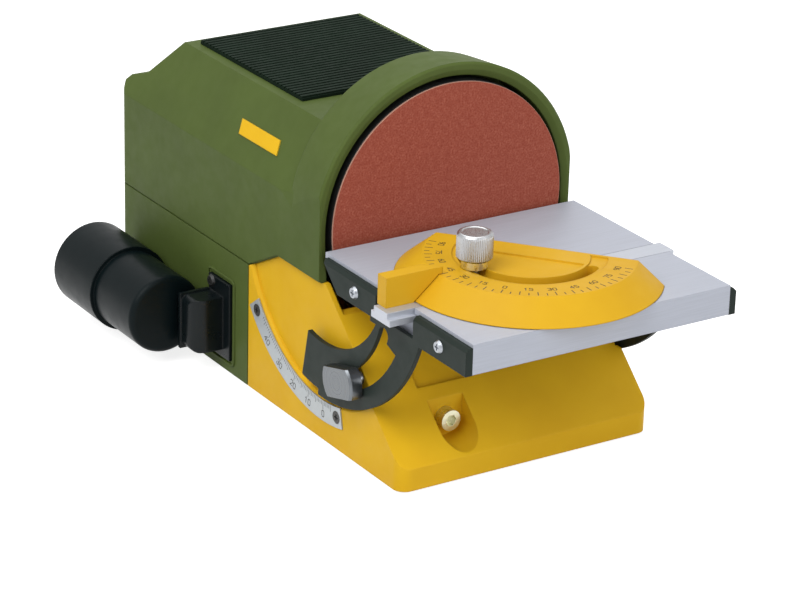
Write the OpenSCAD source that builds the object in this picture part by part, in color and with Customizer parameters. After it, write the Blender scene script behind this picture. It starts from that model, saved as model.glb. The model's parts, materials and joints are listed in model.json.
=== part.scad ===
// Benchtop disc sander as an assembly of named sub-parts, sizes in millimetres.
// x = 0 is the middle plane, y = 0 the abrasive face (minus y is the front), z = 0 the bench.

/* [Body] */
// wall thickness of the two housing halves
wall_t = 3; // [2.6:0.1:3.4]
// height of the housing's lower edge above the bench
foot_drop = 1; // [0.8:0.1:1.2]
// free room between the motor shaft's end and the back wall
back_gap = 15.1; // [13:0.1:20]
// height of the level seam between the housing halves
seam_z = 62.8; // [61:0.2:64]
// place of the upright seam between front base and housing
joint_y = 64.2; // [63.4:0.2:65]
// radius of the housing's upright back corners
corner_r = 6; // [4:0.5:8]
// height of the flat top that carries the mat
top_z = 142; // [141:0.5:144]
// how far the flat top's edges lie inside the side walls
top_in = 18.5; // [17:0.5:20]
// height where the side walls start to lean inwards
crease_z = 110; // [108:0.5:112]
// height of the knee in the leaning walls
knee_z = 124; // [123:0.5:126]
// how far the knee lies inside the side walls
knee_in = 7.6; // [7:0.1:8.2]
// distance from the back wall where the flat top starts to fall
fall_in = 33; // [31:0.5:35]
// length of the falling back face, seen from above
fall_len = 17; // [16:0.5:19]
// height lost over the falling back face
fall_drop = 18.8; // [18:0.2:20]
// height lost over the small ledge at the back
ledge_drop = 4; // [3:0.5:5]
// depth and height of the rounded lip behind the ledge
ledge_lip = 4; // [3:0.5:5]
// height of the shadow gap along the seams
seam_gap = 0.7; // [0.5:0.1:0.9]
// depth of the shadow gap along the seams
seam_depth = 1.2; // [1:0.1:1.5]

/* [Collar] */
// front face of the collar around the disc
collar_y = 1; // [0.6:0.2:1.6]
// back end of the raised collar
collar_back_y = 28; // [27.6:0.2:29]
// length of the slope from the collar down to the flat top
collar_fall = 19; // [16:0.5:22]
// length over which the shoulders grow out of the round collar
shoulder_len = 26; // [22:1:30]
// thickness of the collar round the disc
collar_w = 3.9; // [3.6:0.1:4.4]
// running gap between disc and collar
collar_gap = 2.1; // [1.8:0.1:2.4]
// how much wider the collar's front end is than its back end
collar_lip = 2.5; // [2:0.1:2.8]
// width of the bevel inside the collar's mouth
mouth_bevel = 3; // [2.6:0.1:3.2]
// depth of the bevel inside the collar's mouth
mouth_depth = 1.6; // [1.4:0.1:2]
// bevel on the collar's outer front edge
rim_bevel = 1; // [0.6:0.1:1.4]
// front face of the wall behind the disc
part_y = 22; // [21.6:0.2:23]
// thickness of the wall behind the disc
part_t = 5; // [4.4:0.2:5.4]

/* [Front base] */
// front face of the front base
front_y = -71; // [-73:0.5:-70]
// height of the upright front face
front_z = 11.6; // [10.5:0.1:12.5]
// height of the cheeks' level top edge
cheek_z = 76.1; // [75.6:0.1:76.4]
// place of the cheeks' front top corner
cheek_y = -0.8; // [-1.2:0.1:0]
// back end of the cheeks' level top edge
cheek_back_y = 38.5; // [36:0.5:41]
// thickness of the cheeks
cheek_t = 5; // [4.6:0.1:5.6]
// thickness of the sloping front plate
slope_t = 4; // [3.4:0.1:4.6]
// height where the sloping plate ends between the cheeks
slope_top_z = 64.9; // [63:0.2:66]
// radius of the front base's upright front corners
front_r = 6; // [5:0.5:7]
// depth of the round recess in which a quadrant swings
swing_depth = 2.5; // [2.3:0.1:2.7]
// width of the bevel round that recess
swing_bevel = 1.6; // [1.2:0.1:2]
// half length of the sunk field in the sloping plate
field_half = 43; // [41:0.5:45]
// place of the sunk field's lower edge
field_y = -42.4; // [-43:0.2:-41.8]
// depth of the sunk field
field_t = 2.6; // [2.2:0.1:3]
// skin thickness behind sunk field and pocket
skin_t = 3; // [2.6:0.1:3.4]
// place of the fixing screw across the front
pocket_x = -31.5; // [-33:0.5:-30]
// height of the fixing screw
pocket_z = 22.2; // [21.4:0.2:23]
// radius of the pocket round the fixing screw
pocket_r = 9.5; // [9:0.1:10]
// place of the pocket's back wall
pocket_y = -49; // [-50:0.5:-48]
// height of the rib behind the disc in the front base
rib_z = 60; // [58:0.5:61.5]
// width of the dust opening through that rib
dust_w = 24; // [22:0.5:25]
// height of the dust openings
dust_h = 40; // [38:0.5:41]

/* [Disc and spindle] */
// diameter of the abrasive disc
disc_d = 125; // [124:0.5:125.5]
// height of the spindle above the bench
disc_z = 99; // [98.4:0.2:99.6]
// thickness of the abrasive paper
paper_t = 0.8; // [0.6:0.1:1]
// thickness of the disc plate's web
plate_t = 5; // [4.5:0.5:6]
// depth of the disc plate's rim
rim_depth = 9; // [8:0.5:10]
// width of the disc plate's rim
rim_w = 6; // [5:0.5:8]
// radius of the disc plate's hub
hub_r = 13; // [12:0.5:14]
// length of the hub behind the plate's web
hub_len = 14; // [13:0.5:14.5]
// radius of the spindle
spindle_r = 6; // [5.9:0.1:6.1]
// back end of the spindle
spindle_end_y = 84; // [83:0.5:86]
// outer radius of the ball bearings
bearing_r = 14; // [13.8:0.1:14.2]
// width of the ball bearings
bearing_w = 8; // [7.5:0.5:8.5]
// radius of the bearing balls
ball_r = 2.4; // [2.2:0.1:2.5]
// number of balls in a bearing
ball_count = 8; // [7:1:8]
// wall of the bearing block round the bearings
block_wall = 5; // [4.5:0.5:6]
// length of the bearing block behind the partition
block_len = 37; // [36:0.5:38]
// radius of the bearing block's flange
flange_r = 31; // [30:0.5:32]
// thickness of the bearing block's flange
flange_t = 6; // [5:0.5:7]

/* [Drive] */
// motor axis to the side of the spindle
motor_x = 18; // [17:0.5:19]
// height of the motor axis
motor_z = 40; // [39:0.5:41]
// radius of the motor can
motor_r = 27; // [26:0.5:28]
// length of the motor can
motor_len = 66; // [64:1:68]
// wall of the motor can
can_t = 2; // [1.8:0.1:2.4]
// depth of the motor's back end shield
bell_t = 9; // [8:0.5:10]
// front face of the motor bracket
bracket_y = 86; // [85.6:0.2:87]
// thickness of the motor bracket
bracket_t = 3; // [2.6:0.2:3.4]
// radius of the motor shaft
shaft_r = 3; // [2.8:0.1:3.2]
// radius of the rotor
rotor_r = 16; // [15:0.5:17]
// length of the rotor stack
rotor_len = 40; // [38:1:42]
// radius of the cooling fan
fan_r = 22; // [21:0.5:24]
// depth of the cooling fan
fan_len = 10; // [9:0.5:11]
// number of fan blades
fan_blades = 8; // [6:1:10]
// radius of the driven pulley under the belt
driven_r = 27; // [26:0.5:28]
// belt reduction from motor to spindle
belt_ratio = 2.7; // [2.6:0.1:2.8]
// front face of the pulleys
pulley_y = 69; // [68.6:0.2:69.6]
// width of the pulleys
pulley_w = 12; // [11:0.5:13]
// height of the pulley rims beside the belt
pulley_rim = 2; // [1.8:0.1:2.4]
// width of the pulley rims
rim_t = 1.5; // [1.2:0.1:1.8]
// thickness of the belt
belt_t = 1.5; // [1.2:0.1:1.7]

/* [Table] */
// how far the table's ends lie inside the side walls
table_in = 0.3; // [0.2:0.1:0.5]
// depth of the table from its back edge to its front edge
table_d = 120; // [116:1:121]
// height of the table's top face
table_z = 93.3; // [92.8:0.1:93.8]
// thickness of the table's edge
table_t = 14; // [13.6:0.1:14.2]
// gap between abrasive face and table
table_gap = 3.9; // [3.6:0.1:4.4]
// thickness of the table's back lip
lip_t = 2.5; // [2:0.1:3]
// depth of the bevel under the table's back lip
lip_bevel = 10.8; // [10.4:0.1:12]
// skin of the table plate
table_skin = 4; // [3.5:0.1:4.5]
// thickness of the table's rim and ribs
table_rib = 4; // [3.5:0.5:5]
// distance of the gauge slot from the table's back edge
slot_back = 68.5; // [68:0.5:70]
// width of the gauge bar's upper strip
strip_w = 10.6; // [10:0.2:11]
// width of the gauge bar's foot
bar_w = 15; // [14.5:0.5:15.5]
// thickness of the gauge bar's foot
bar_t = 3; // [2.8:0.1:3.2]
// depth of the gauge slot
slot_depth = 6; // [5.9:0.1:6.4]
// sliding gap of the gauge bar
slide_gap = 0.35; // [0.32:0.01:0.4]

/* [Tilt] */
// thickness of the quadrant plates
quad_t = 2.2; // [2:0.1:2.4]
// outer radius of the quadrants
quad_out = 84; // [83.4:0.2:84.4]
// place of the pointer step behind the tilt axis
mark_y = -1.4; // [-2:0.1:-1]
// height of the pointer step
mark_step = 3; // [2.6:0.1:3.2]
// height of the arms that carry the table
arm_h = 12.6; // [12.2:0.1:12.8]
// length of the back arm
arm_back = 44; // [43:0.5:45]
// length of the front arm
arm_front = 41.4; // [41:0.1:41.8]
// bevel on the arms' upper edges
arm_bevel = 1.6; // [1.2:0.1:1.8]
// width of the clamp slot
slot_w = 7.4; // [7.2:0.1:7.6]
// angle of the clamp stud below the tilt axis
stud_ang = -119; // [-119.5:0.5:-118.5]
// largest downward tilt of the table
tilt_down = 40; // [38:0.5:40]
// largest upward tilt of the table
tilt_up = 5; // [4:0.5:5]
// radius of the clamp stud
stud_r = 3; // [2.8:0.1:3.1]
// radius of the clamp knob
knob_r = 12.5; // [12:0.1:12.8]
// distance across the clamp knob's two flats
knob_flat = 14; // [13.6:0.1:15]
// length of the clamp knob
knob_len = 7; // [6.5:0.5:7.5]
// thickness of the clamp knob's grip
knob_face = 6.2; // [5.8:0.1:6.4]
// turn of the clamp knob's flats at rest
knob_ang = -15; // [-18:1:-12]
// width of the angle scale
scale_w = 10; // [9.5:0.1:10.4]
// thickness of the angle scale
scale_t = 0.7; // [0.6:0.1:0.8]
// angle of the angle scale's upper end
scale_top_ang = -37; // [-38:0.5:-36]
// angle of the angle scale's lower end
scale_low_ang = -103; // [-104:0.5:-102]
// angle of the scale screws from the scale's ends
scale_screw_ang = 3.2; // [3:0.1:3.6]
// angle of free play at the clamp slot's ends
slot_play_ang = 1.85; // [1.8:0.05:1.9]

/* [Mitre gauge] */
// how far the bar stands out beyond the protractor at rest
bar_out = 17.5; // [17:0.5:18]
// length of the gauge bar
bar_len = 153.5; // [150:0.5:155]
// distance of the pointer block from the bar's end
point_in = 2.5; // [2.2:0.1:3]
// place of the protractor's pivot along the table
pivot_x = -4.5; // [-5.5:0.1:-4]
// radius of the protractor at its foot
head_r = 60; // [59:0.1:60.6]
// radius of the protractor's top
head_top_r = 47.8; // [47:0.2:48.2]
// height of the protractor
head_h = 10.2; // [9.8:0.1:10.6]
// fence face in front of the pivot
fence_off = 11; // [10:0.1:12]
// reading of the protractor at rest
head_angle = 40; // [38:1:42]
// radius of the protractor's slot
arc_r = 29.6; // [29.2:0.1:30]
// width of the protractor's slot
arc_w = 5.4; // [5.2:0.1:5.6]
// half angle of the protractor's slot
arc_half_ang = 84; // [82:1:85]
// depth of the sunk panels on the protractor
panel_t = 0.8; // [0.6:0.1:1]
// rim between panels and slot
panel_rim = 1.6; // [1.4:0.1:2]
// outer radius of the sunk ring round the slot
ring_r = 34.6; // [34.2:0.2:35]
// radius of the protractor's pivot boss
boss_r = 4; // [3.8:0.1:4.2]
// height of the pointer block over the table
pointer_h = 14; // [13.5:0.1:14.5]
// length of the pointer block's upright back face
pointer_len = 22; // [21:0.5:23]
// width of the pointer block
pointer_w = 7; // [6.8:0.1:7.2]
// overhang of the pointer's tip over the protractor's top edge
pointer_tip = 1.6; // [1.4:0.1:1.8]
// gap between moving pieces on the table
ride_gap = 0.3; // [0.3:0.01:0.36]
// radius of the gauge's clamp stud
gauge_stud_r = 2.2; // [2:0.1:2.3]
// radius of the gauge's knurled knob
gauge_knob_r = 8.2; // [8:0.1:8.6]
// length of the gauge's knurled knob
gauge_knob_len = 12.4; // [12:0.1:13]
// edge bevel of the gauge's knurled knob
gauge_knob_bevel = 1; // [0.8:0.1:1.2]
// radius of the plated collar under the knob
gauge_collar_r = 5.9; // [5.6:0.1:6.2]
// height of the plated collar under the knob
gauge_collar_len = 4; // [3.6:0.1:4.4]

/* [Suction] */
// distance of the suction flange behind the upright seam
port_y = 15.6; // [15.2:0.1:16]
// length of the suction flange
port_len = 20; // [19.6:0.1:20.4]
// height of the suction flange
port_h = 39; // [38.6:0.1:39.4]
// height of the flange's lower edge
port_z = 7.8; // [7.6:0.1:8]
// depth of the sunk seat of the flange
seat_depth = 1.5; // [1.3:0.1:1.7]
// thickness of the suction flange
port_t = 3; // [2.8:0.1:3.2]
// reach of the elbow out of the wall
elbow_out = 17.5; // [17:0.1:18]
// height of the elbow
elbow_h = 27; // [26.6:0.1:27.4]
// distance of the elbow behind the flange's front end
elbow_in = 6; // [5.6:0.1:6.4]
// height of the elbow over the flange's lower edge
elbow_up = 4; // [3.8:0.1:4.2]
// edge radius of the elbow
elbow_r = 8; // [7.5:0.1:8.5]
// wall of the elbow and of the tube
duct_t = 2; // [1.8:0.1:2.2]
// width of the elbow's mouth at the tube
neck_w = 9.5; // [9.2:0.1:9.8]
// height of the elbow's mouth at the tube
neck_h = 18; // [17.6:0.1:18.4]
// distance of the tube's axis from the wall
tube_off = 22; // [21.9:0.1:22.6]
// height of the tube's axis
tube_z = 27; // [26.6:0.1:27.4]
// front end of the suction tube
tube_y = 104.4; // [104:0.1:105]
// length of the tube's thinner part
tube_len_a = 38; // [37:0.5:39]
// length of the tube's wider part
tube_len_b = 38.5; // [38:0.5:40]
// outer radius of the tube's thinner part
tube_ra = 19.5; // [19.2:0.1:19.8]
// outer radius of the tube's wider part
tube_rb = 21.5; // [21.2:0.1:21.6]
// edge radius at the tube's closed end
tube_edge = 2.5; // [2.2:0.1:2.8]

/* [Mat and controls] */
// border of the flat top beside the mat
mat_edge = 5.5; // [5:0.1:6]
// front edge of the mat
mat_y = 57.5; // [57:0.5:58]
// distance of the mat's back end from the falling face
mat_back = 6; // [5.5:0.1:8]
// thickness of the mat's sheet
mat_t = 1.4; // [1.2:0.1:1.6]
// number of ribs on the mat
mat_ribs = 30; // [26:1:34]
// height of the mat's ribs
mat_rib_h = 0.9; // [0.7:0.1:1.1]
// distance of the switch from the back wall
switch_in = 41; // [40:0.5:42]
// height of switch and dial
panel_z = 34; // [33:0.5:35]
// length of the switch frame
switch_len = 21; // [20.5:0.1:21.5]
// height of the switch frame
switch_h = 15; // [14.6:0.1:15.4]
// depth of the switch body inside the wall
switch_depth = 15; // [14:0.5:16]
// thickness of the switch frame
switch_t = 1.8; // [1.6:0.1:2]
// length of the rocker
rocker_len = 16; // [15.6:0.1:16.4]
// height of the rocker
rocker_h = 10; // [9.6:0.1:10.4]
// distance from the switch to the speed dial
dial_step = 30; // [29:0.5:31]
// radius of the speed dial
dial_r = 11; // [10.6:0.1:11.4]
// height of the speed dial
dial_len = 9; // [8.5:0.1:9.5]
// number of grip flutes on the dial
dial_flutes = 12; // [10:1:14]
// radius of the speed control inside the wall
pot_r = 8; // [7.8:0.1:8.2]
// depth of the speed control
pot_len = 9; // [8.5:0.1:9.5]
// radius of the speed control's shaft
pot_shaft_r = 2.5; // [2.4:0.1:2.6]
// length of the circuit board
board_len = 64; // [62:0.5:66]
// height of the circuit board
board_h = 32; // [31:0.5:33]
// thickness of the circuit board
board_t = 1.6; // [1.5:0.1:1.7]
// distance of the board from the wall
board_gap = 6; // [5.6:0.1:6.4]
// distance of the cable inlet from the right wall
gland_in = 26.5; // [26:0.5:28]
// height of the cable inlet
gland_z = 18; // [17:0.5:19]
// radius of the cable inlet's bush
gland_r = 6; // [5.8:0.1:6.2]
// bore of the cable inlet
gland_bore = 3.4; // [3.2:0.1:3.6]

/* [Fixings] */
// radius of the rubber feet
foot_r = 9; // [8.8:0.1:9.4]
// height of a foot's pad
foot_h = 2.4; // [2.2:0.1:2.6]
// distance of the feet from the side walls
foot_side = 14.5; // [14:0.5:16]
// distance of the feet from the base's front and back faces
foot_in = 26; // [25:0.5:27]
// radius of the small screws' shanks
screw_r = 1.5; // [1.4:0.1:1.6]
// radius of the small screws' heads
head_screw_r = 3; // [2.9:0.1:3.1]
// height of the small screws' heads
head_screw_h = 1.3; // [1.2:0.1:1.5]
// length of the small screws
screw_len = 8; // [7.6:0.1:8.4]
// radius of the socket screws' shanks
cap_r = 3; // [2.8:0.1:3.1]
// radius of the socket screws' heads
cap_head_r = 5; // [4.8:0.1:5.2]
// height of the socket screws' heads
cap_head_h = 6; // [5.8:0.1:6.2]
// radius of the hexagon socket
socket_r = 2.8; // [2.7:0.1:2.9]
// radius of the housing posts
post_r = 6.4; // [6.2:0.1:6.6]
// distance of the posts from the wall
post_in = 8.5; // [8.2:0.1:8.8]
// width of the tie strap
strap_w = 14; // [13:0.5:14]
// thickness of the tie strap
strap_t = 2.5; // [2.3:0.1:2.7]
// running gap of shafts and pins
run_gap = 0.05; // [0.04:0.01:0.08]
// clearance round fixings
fix_gap = 0.2; // [0.15:0.05:0.3]
// overrun of cuts past a face
over = 0.6; // [0.5:0.1:0.8]

/* [Hidden] */
$fn = 96;
disc_r = disc_d / 2;
chamber_r = disc_r + collar_gap;
collar_r = chamber_r + collar_w;
lip_r = collar_r + collar_lip;
half_w = collar_r;
body_w = 2 * half_w;
in_w = half_w - wall_t;
top_hw = half_w - top_in;
mat_hw = top_hw - mat_edge;
gland_x = half_w - gland_in;
foot_x = half_w - foot_side;
part_back = part_y + part_t;
floor_z = foot_drop + wall_t;
bay_w = half_w - cheek_t;
// slope of the front plate
slope_run = cheek_y - front_y;
slope_rise = cheek_z - front_z;
slope_len = norm([slope_run, slope_rise]);
slope_in = slope_t * [slope_rise, -slope_run] / slope_len;
function slope_at(y) = front_z + (y - front_y) * slope_rise / slope_run;
// tilt axis at the back edge of the table's top
axis_y = -table_gap;
axis_z = table_z;
function at_axis(r, a) = [axis_y + r * cos(a), axis_z + r * sin(a)];
function from_axis(v) = [axis_y + v[0], axis_z + v[1]];
// quadrant and scale as shares of the quadrants' outer radius
ring_shares = [0.6202, 0.6964, 0.744, 0.8429, 0.8524, 0.8619];
quad_in = quad_out * ring_shares[0];
slot_r = quad_out * ring_shares[1];
window_in = quad_out * ring_shares[2];
window_out = quad_out * ring_shares[3];
swing_r = quad_out * ring_shares[4];
scale_in = quad_out * ring_shares[5];
scale_mid = scale_in + scale_w / 2;
// centres of the outer and the inner round and two points on the free end, seen from the tilt axis
centre_shares = [[-0.0595, 0.1798], [-0.0464, 0.1202]];
end_shares = [[0.0988, -0.4833], [0.1548, -0.7607]];
out_at = from_axis(quad_out * centre_shares[0]);
in_at = from_axis(quad_out * centre_shares[1]);
quad_tip = quad_out * end_shares[0];
quad_heel = quad_out * end_shares[1];
stud_at = at_axis(slot_r, stud_ang);
quad_x0 = half_w - table_in;
ring_x = half_w + scale_t + ride_gap;
quad_x1 = ring_x + quad_t;
end_half = slot_w / 2;
slot_a0 = stud_ang + tilt_up + slot_play_ang;
slot_a1 = stud_ang - tilt_down - slot_play_ang;
table_bot = table_z - table_t;
table_front = axis_y - table_d;
gauge_y = axis_y - slot_back;
foot_w = bar_w + 2 * slide_gap;
slit_w = strip_w + 2 * slide_gap;
groove_z = table_z - slot_depth;
bar_z = groove_z + ride_gap;
arm_z = table_z - arm_bevel;
arm_low = arm_z - arm_h;
gap_y0 = axis_y - ride_gap - arm_back - table_skin;
gap_y1 = table_front + arm_front;
knob_x0 = quad_x1 + ride_gap;
head_z = table_z + ride_gap;
head_top = head_z + head_h;
knob_at = [pivot_x - arc_r, gauge_y];
collar_z0 = head_top + ride_gap;
knob_z0 = collar_z0 + gauge_collar_len;
knob_z1 = knob_z0 + gauge_knob_len;
// drive train
plate_y = paper_t;
hub_y = plate_y + plate_t + hub_len;
bear_a = part_back - bearing_w / 2;
bear_b = part_back + block_len - bearing_w - table_skin;
ball_at = (bearing_r + spindle_r) / 2;
motor_pr = driven_r / belt_ratio;
can_y = bracket_y + bracket_t;
bell_y = can_y + motor_len;
bell_end = bell_y + bell_t;
shaft_end = bell_end + ride_gap + fan_len + 2 * ride_gap;
back_y = shaft_end + back_gap + wall_t;
fall_y = back_y - fall_in;
mat_len = fall_y - mat_back - mat_y;
switch_y = back_y - switch_in;
dial_y = switch_y - dial_step;
bar_x = pivot_x - head_r - bar_out;
// suction
port_y0 = joint_y + port_y;
port_y1 = port_y0 + port_len;
port_z1 = port_z + port_h;
seat_x = half_w - seat_depth;
elbow_x = half_w + elbow_out;
elbow_z0 = port_z + elbow_up;
elbow_y1 = port_y1 + fix_gap;
elbow_y0 = port_y0 + elbow_in;
tube_x = half_w + tube_off;
neck_x = elbow_x - duct_t - neck_w;
neck_z = tube_z - neck_h / 2;
duct_x = half_w - wall_t - dust_w - duct_t;
post_spots = [[in_w - post_in, back_y - wall_t - post_in], [post_in - in_w, back_y - wall_t - post_in],
  [in_w - post_in, joint_y + wall_t + post_in], [post_in - in_w, port_y1 + post_in + post_r]];
post_top = seam_z + post_r + post_r;
deep_z = seam_z - post_r - post_r;
foot_spots = [[foot_x, front_y + foot_in], [-foot_x, front_y + foot_in],
  [foot_x, back_y - foot_in], [-foot_x, back_y - foot_in]];

/* shared forms */
module box(x0, x1, y0, y1, z0, z1) {
  translate([x0, y0, z0]) cube([x1 - x0, y1 - y0, z1 - z0]);
}
module rod_x(r, x0, x1, at) {
  translate([x0, at[0], at[1]]) rotate([0, 90, 0]) cylinder(r = r, h = x1 - x0);
}
module rod_y(r, y0, y1, at) {
  translate([at[0], y0, at[1]]) rotate([-90, 0, 0]) cylinder(r = r, h = y1 - y0);
}
module rod_z(r, z0, z1, at) {
  translate([at[0], at[1], z0]) cylinder(r = r, h = z1 - z0);
}
module cone_x(r0, r1, x0, x1, at) {
  translate([x0, at[0], at[1]]) rotate([0, 90, 0]) cylinder(r1 = r0, r2 = r1, h = x1 - x0);
}
module cone_y(r0, r1, y0, y1, at) {
  translate([at[0], y0, at[1]]) rotate([-90, 0, 0]) cylinder(r1 = r0, r2 = r1, h = y1 - y0);
}
module prism_x(points, x0, x1) {
  translate([x0, 0, 0]) rotate([90, 0, 90]) linear_extrude(x1 - x0) polygon(points);
}
module prism_y(points, y0, y1) {
  translate([0, y1, 0]) rotate([90, 0, 0]) linear_extrude(y1 - y0) polygon(points);
}
module both_sides() {
  children();
  mirror([1, 0, 0]) children();
}
// plan of a box with rounded corners at one end
module round_plan(hw, y0, y1, r, z0, z1) {
  translate([0, 0, z0]) linear_extrude(z1 - z0) union() {
    translate([-hw, min(y0, y1 - sign(y1 - y0) * r)]) square([2 * hw, abs(y1 - y0) - r]);
    translate([r - hw, min(y0, y1)]) square([2 * (hw - r), abs(y1 - y0)]);
    for (s = [-1, 1]) translate([s * (hw - r), y1 - sign(y1 - y0) * r]) circle(r);
  }
}
// outline points of a sector round the tilt axis
function sector(r, a0, a1) = concat([[axis_y, axis_z]], [for (i = [0 : 4]) at_axis(r,
    a0 + (a1 - a0) * i / 4)]);
module ring_part(r0, r1, a0, a1, x0, x1) {
  intersection() {
    difference() {
      rod_x(r1, x0, x1, [axis_y, axis_z]);
      rod_x(r0, x0 - over, x1 + over, [axis_y, axis_z]);
    }
    prism_x(sector(2 * r1, a0, a1), x0, x1);
  }
}
// small screw along plus z with a cross slot, head on top
module small_screw(len) {
  difference() {
    union() {
      translate([0, 0, -len]) cylinder(r = screw_r, h = len);
      cylinder(r1 = head_screw_r, r2 = head_screw_r - head_screw_h / 2, h = head_screw_h);
    }
    for (a = [0, 90]) rotate([0, 0, a]) translate([-screw_r, -screw_r / 4, head_screw_h / 2])
      cube([2 * screw_r, screw_r / 2, head_screw_h]);
  }
}
// socket screw along plus z, head on top
module cap_screw(len) {
  difference() {
    union() {
      translate([0, 0, -len]) cylinder(r = cap_r, h = len);
      cylinder(r = cap_head_r, h = cap_head_h);
    }
    translate([0, 0, cap_head_h / 2]) cylinder(r = socket_r, h = cap_head_h, $fn = 6);
  }
}

/* front base */
base_outer = [[front_y, foot_drop], [front_y, front_z], [cheek_y, cheek_z], [cheek_back_y, cheek_z],
  [joint_y, seam_z], [joint_y, foot_drop]];
in_low = [front_y + slope_t, front_z + slope_in[1] + (slope_t - slope_in[0]) * slope_rise / slope_run];
in_high = [cheek_y + slope_in[0] + slope_run, cheek_z + slope_in[1] + slope_rise];
base_inner = [[front_y + slope_t, floor_z], in_low, in_high, [joint_y + over, in_high[1]],
    [joint_y + over, floor_z]];
// strip between two depths under the sloping face, from the sunk field's lower edge upwards
function under_slope(d0, d1) = let(n = [slope_rise, -slope_run] / slope_len, u = [slope_run,
    slope_rise] / slope_len,
  a = [field_y, slope_at(field_y)]) [a + d0 * n, a + d0 * n + slope_len * u,
      a + d1 * n + slope_len * u, a + d1 * n - skin_t * u];
module base_hull() {
  intersection() {
    prism_x(base_outer, -half_w, half_w);
    round_plan(half_w, joint_y, front_y, front_r, foot_drop, cheek_z);
  }
}
module front_base() color("gold") difference() {
  union() {
    difference() {
      base_hull();
      prism_x(base_inner, -bay_w, bay_w);
      box(-bay_w, bay_w, front_y, joint_y + over, slope_top_z, cheek_z + over);
    }
    difference() {
      box(-bay_w - over, bay_w + over, part_y, part_y + skin_t, foot_drop + over, rib_z);
      box(-bay_w + over, dust_w - bay_w, part_y - over, part_y + skin_t + over, floor_z, dust_h);
      box(pocket_x - strap_w / 2 - fix_gap, pocket_x + strap_w / 2 + fix_gap, part_y - over,
          part_y + skin_t + over,
        floor_z, floor_z + strap_t + fix_gap);
    }
    intersection() {
      prism_x(under_slope(slope_t / 2, field_t + skin_t), -field_half - skin_t, field_half + skin_t);
      box(-bay_w, bay_w, front_y, joint_y, floor_z, slope_top_z);
    }
    intersection() {
      base_hull();
      box(pocket_x - pocket_r - skin_t, pocket_x + pocket_r + skin_t, front_y, pocket_y + cheek_t,
        foot_drop, pocket_z + pocket_r + skin_t);
    }
  }
  prism_x(under_slope(-cheek_t, field_t), -field_half, field_half);
  rod_y(pocket_r, front_y - over, pocket_y, [pocket_x, pocket_z]);
  box(pocket_x - pocket_r, pocket_x + pocket_r, front_y - over, pocket_y, pocket_z, cheek_z);
  rod_y(cap_r + fix_gap, pocket_y - over, pocket_y + 2 * cheek_t, [pocket_x, pocket_z]);
  both_sides() {
    rod_x(swing_r, half_w - swing_depth, half_w + over, [axis_y, axis_z]);
    cone_x(swing_r, swing_r + swing_bevel, half_w - swing_bevel, half_w, [axis_y, axis_z]);
    rod_x(stud_r + run_gap, bay_w - over, half_w, stud_at);
  }
  for (a = scale_angs) {
    rod_x(screw_r + run_gap, -half_w - over, over - bay_w, at_axis(scale_mid, a));
    sink(a);
  }
  for (s = foot_spots) if (s[1] < joint_y) {
    rod_z(foot_r + fix_gap, 0, foot_h, s);
    rod_z(foot_r / 3, 0, floor_z + foot_drop + over, s);
  }
}

/* housing */
module lower_housing() color("darkolivegreen") difference() {
  union() {
    difference() {
      round_plan(half_w, joint_y, back_y, corner_r, foot_drop, seam_z);
      round_plan(in_w, joint_y + wall_t, back_y - wall_t, corner_r - wall_t, floor_z, seam_z + over);
    }
    // dust duct to the suction port
    box(-in_w - over, -duct_x, joint_y + over, port_y1 + duct_t, port_z1, port_z1 + duct_t);
    box(-duct_x - duct_t, -duct_x, joint_y + over, port_y1 + duct_t, foot_drop + over, port_z1 + duct_t);
    box(-in_w - over, -duct_x, port_y1, port_y1 + duct_t, foot_drop + over, port_z1 + duct_t);
    for (s = post_spots) rod_z(post_r, foot_drop + over, seam_z, s);
  }
  box(-in_w + fix_gap, -duct_x - duct_t, joint_y - over, joint_y + wall_t + over, floor_z + strap_t,
      dust_h);
  box(pocket_x - strap_w / 2 - fix_gap, pocket_x + strap_w / 2 + fix_gap, joint_y - over,
    joint_y + wall_t + over, floor_z, floor_z + strap_t + fix_gap);
  // seat and mouth of the suction port
  box(-half_w - over, -seat_x, port_y0 - fix_gap, port_y1 + fix_gap, port_z - fix_gap, port_z1 + fix_gap);
  box(-half_w - over, over - in_w, elbow_y0 + duct_t, port_y1 - 2 * duct_t, elbow_z0 + duct_t,
      elbow_z0 + elbow_h - duct_t);
  rod_x(screw_r + run_gap, -half_w, over - in_w, port_screw);
  // shadow gap along the upright seam
  difference() {
    box(-body_w, body_w, joint_y - over, joint_y + seam_gap, foot_drop - over, seam_z + over);
    box(seam_depth - half_w, half_w - seam_depth, joint_y - 2 * over, joint_y + 2 * seam_gap,
        foot_drop, high_z);
  }
  // cooling slots in the back wall
  for (i = [-3 : 3]) box(motor_x + i * post_r - screw_r, motor_x + i * post_r + screw_r,
    back_y - wall_t - over, back_y + over, motor_z - motor_r / 2, motor_z + motor_r / 2);
  rod_y(gland_r + run_gap, back_y - wall_t - over, back_y + over, [gland_x, gland_z]);
  // openings of switch and dial
  box(in_w - over, half_w + over, switch_y - switch_len / 2 + switch_t,
      switch_y + switch_len / 2 - switch_t,
    panel_z - switch_h / 2 + switch_t, panel_z + switch_h / 2 - switch_t);
  rod_x(pot_shaft_r + fix_gap, in_w - over, half_w + over, [dial_y, panel_z]);
  for (s = post_spots) {
    rod_z(head_screw_r + fix_gap, 0, deep_z, s);
    rod_z(screw_r + fix_gap, 0, seam_z + over, s);
  }
  for (s = foot_spots) if (s[1] > joint_y) {
    rod_z(foot_r + fix_gap, 0, foot_h, s);
    rod_z(foot_r / 3, 0, floor_z + foot_drop + over, s);
  }
}
roof_far = [[half_w, crease_z - disc_z], [half_w - knee_in, knee_z - disc_z], [top_hw, top_z - disc_z]];
corner_far = max([for (p = roof_far) norm(p)]) + over;
shoulder_y = collar_back_y - shoulder_len / 4;
low_z = seam_z - post_r;
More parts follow.
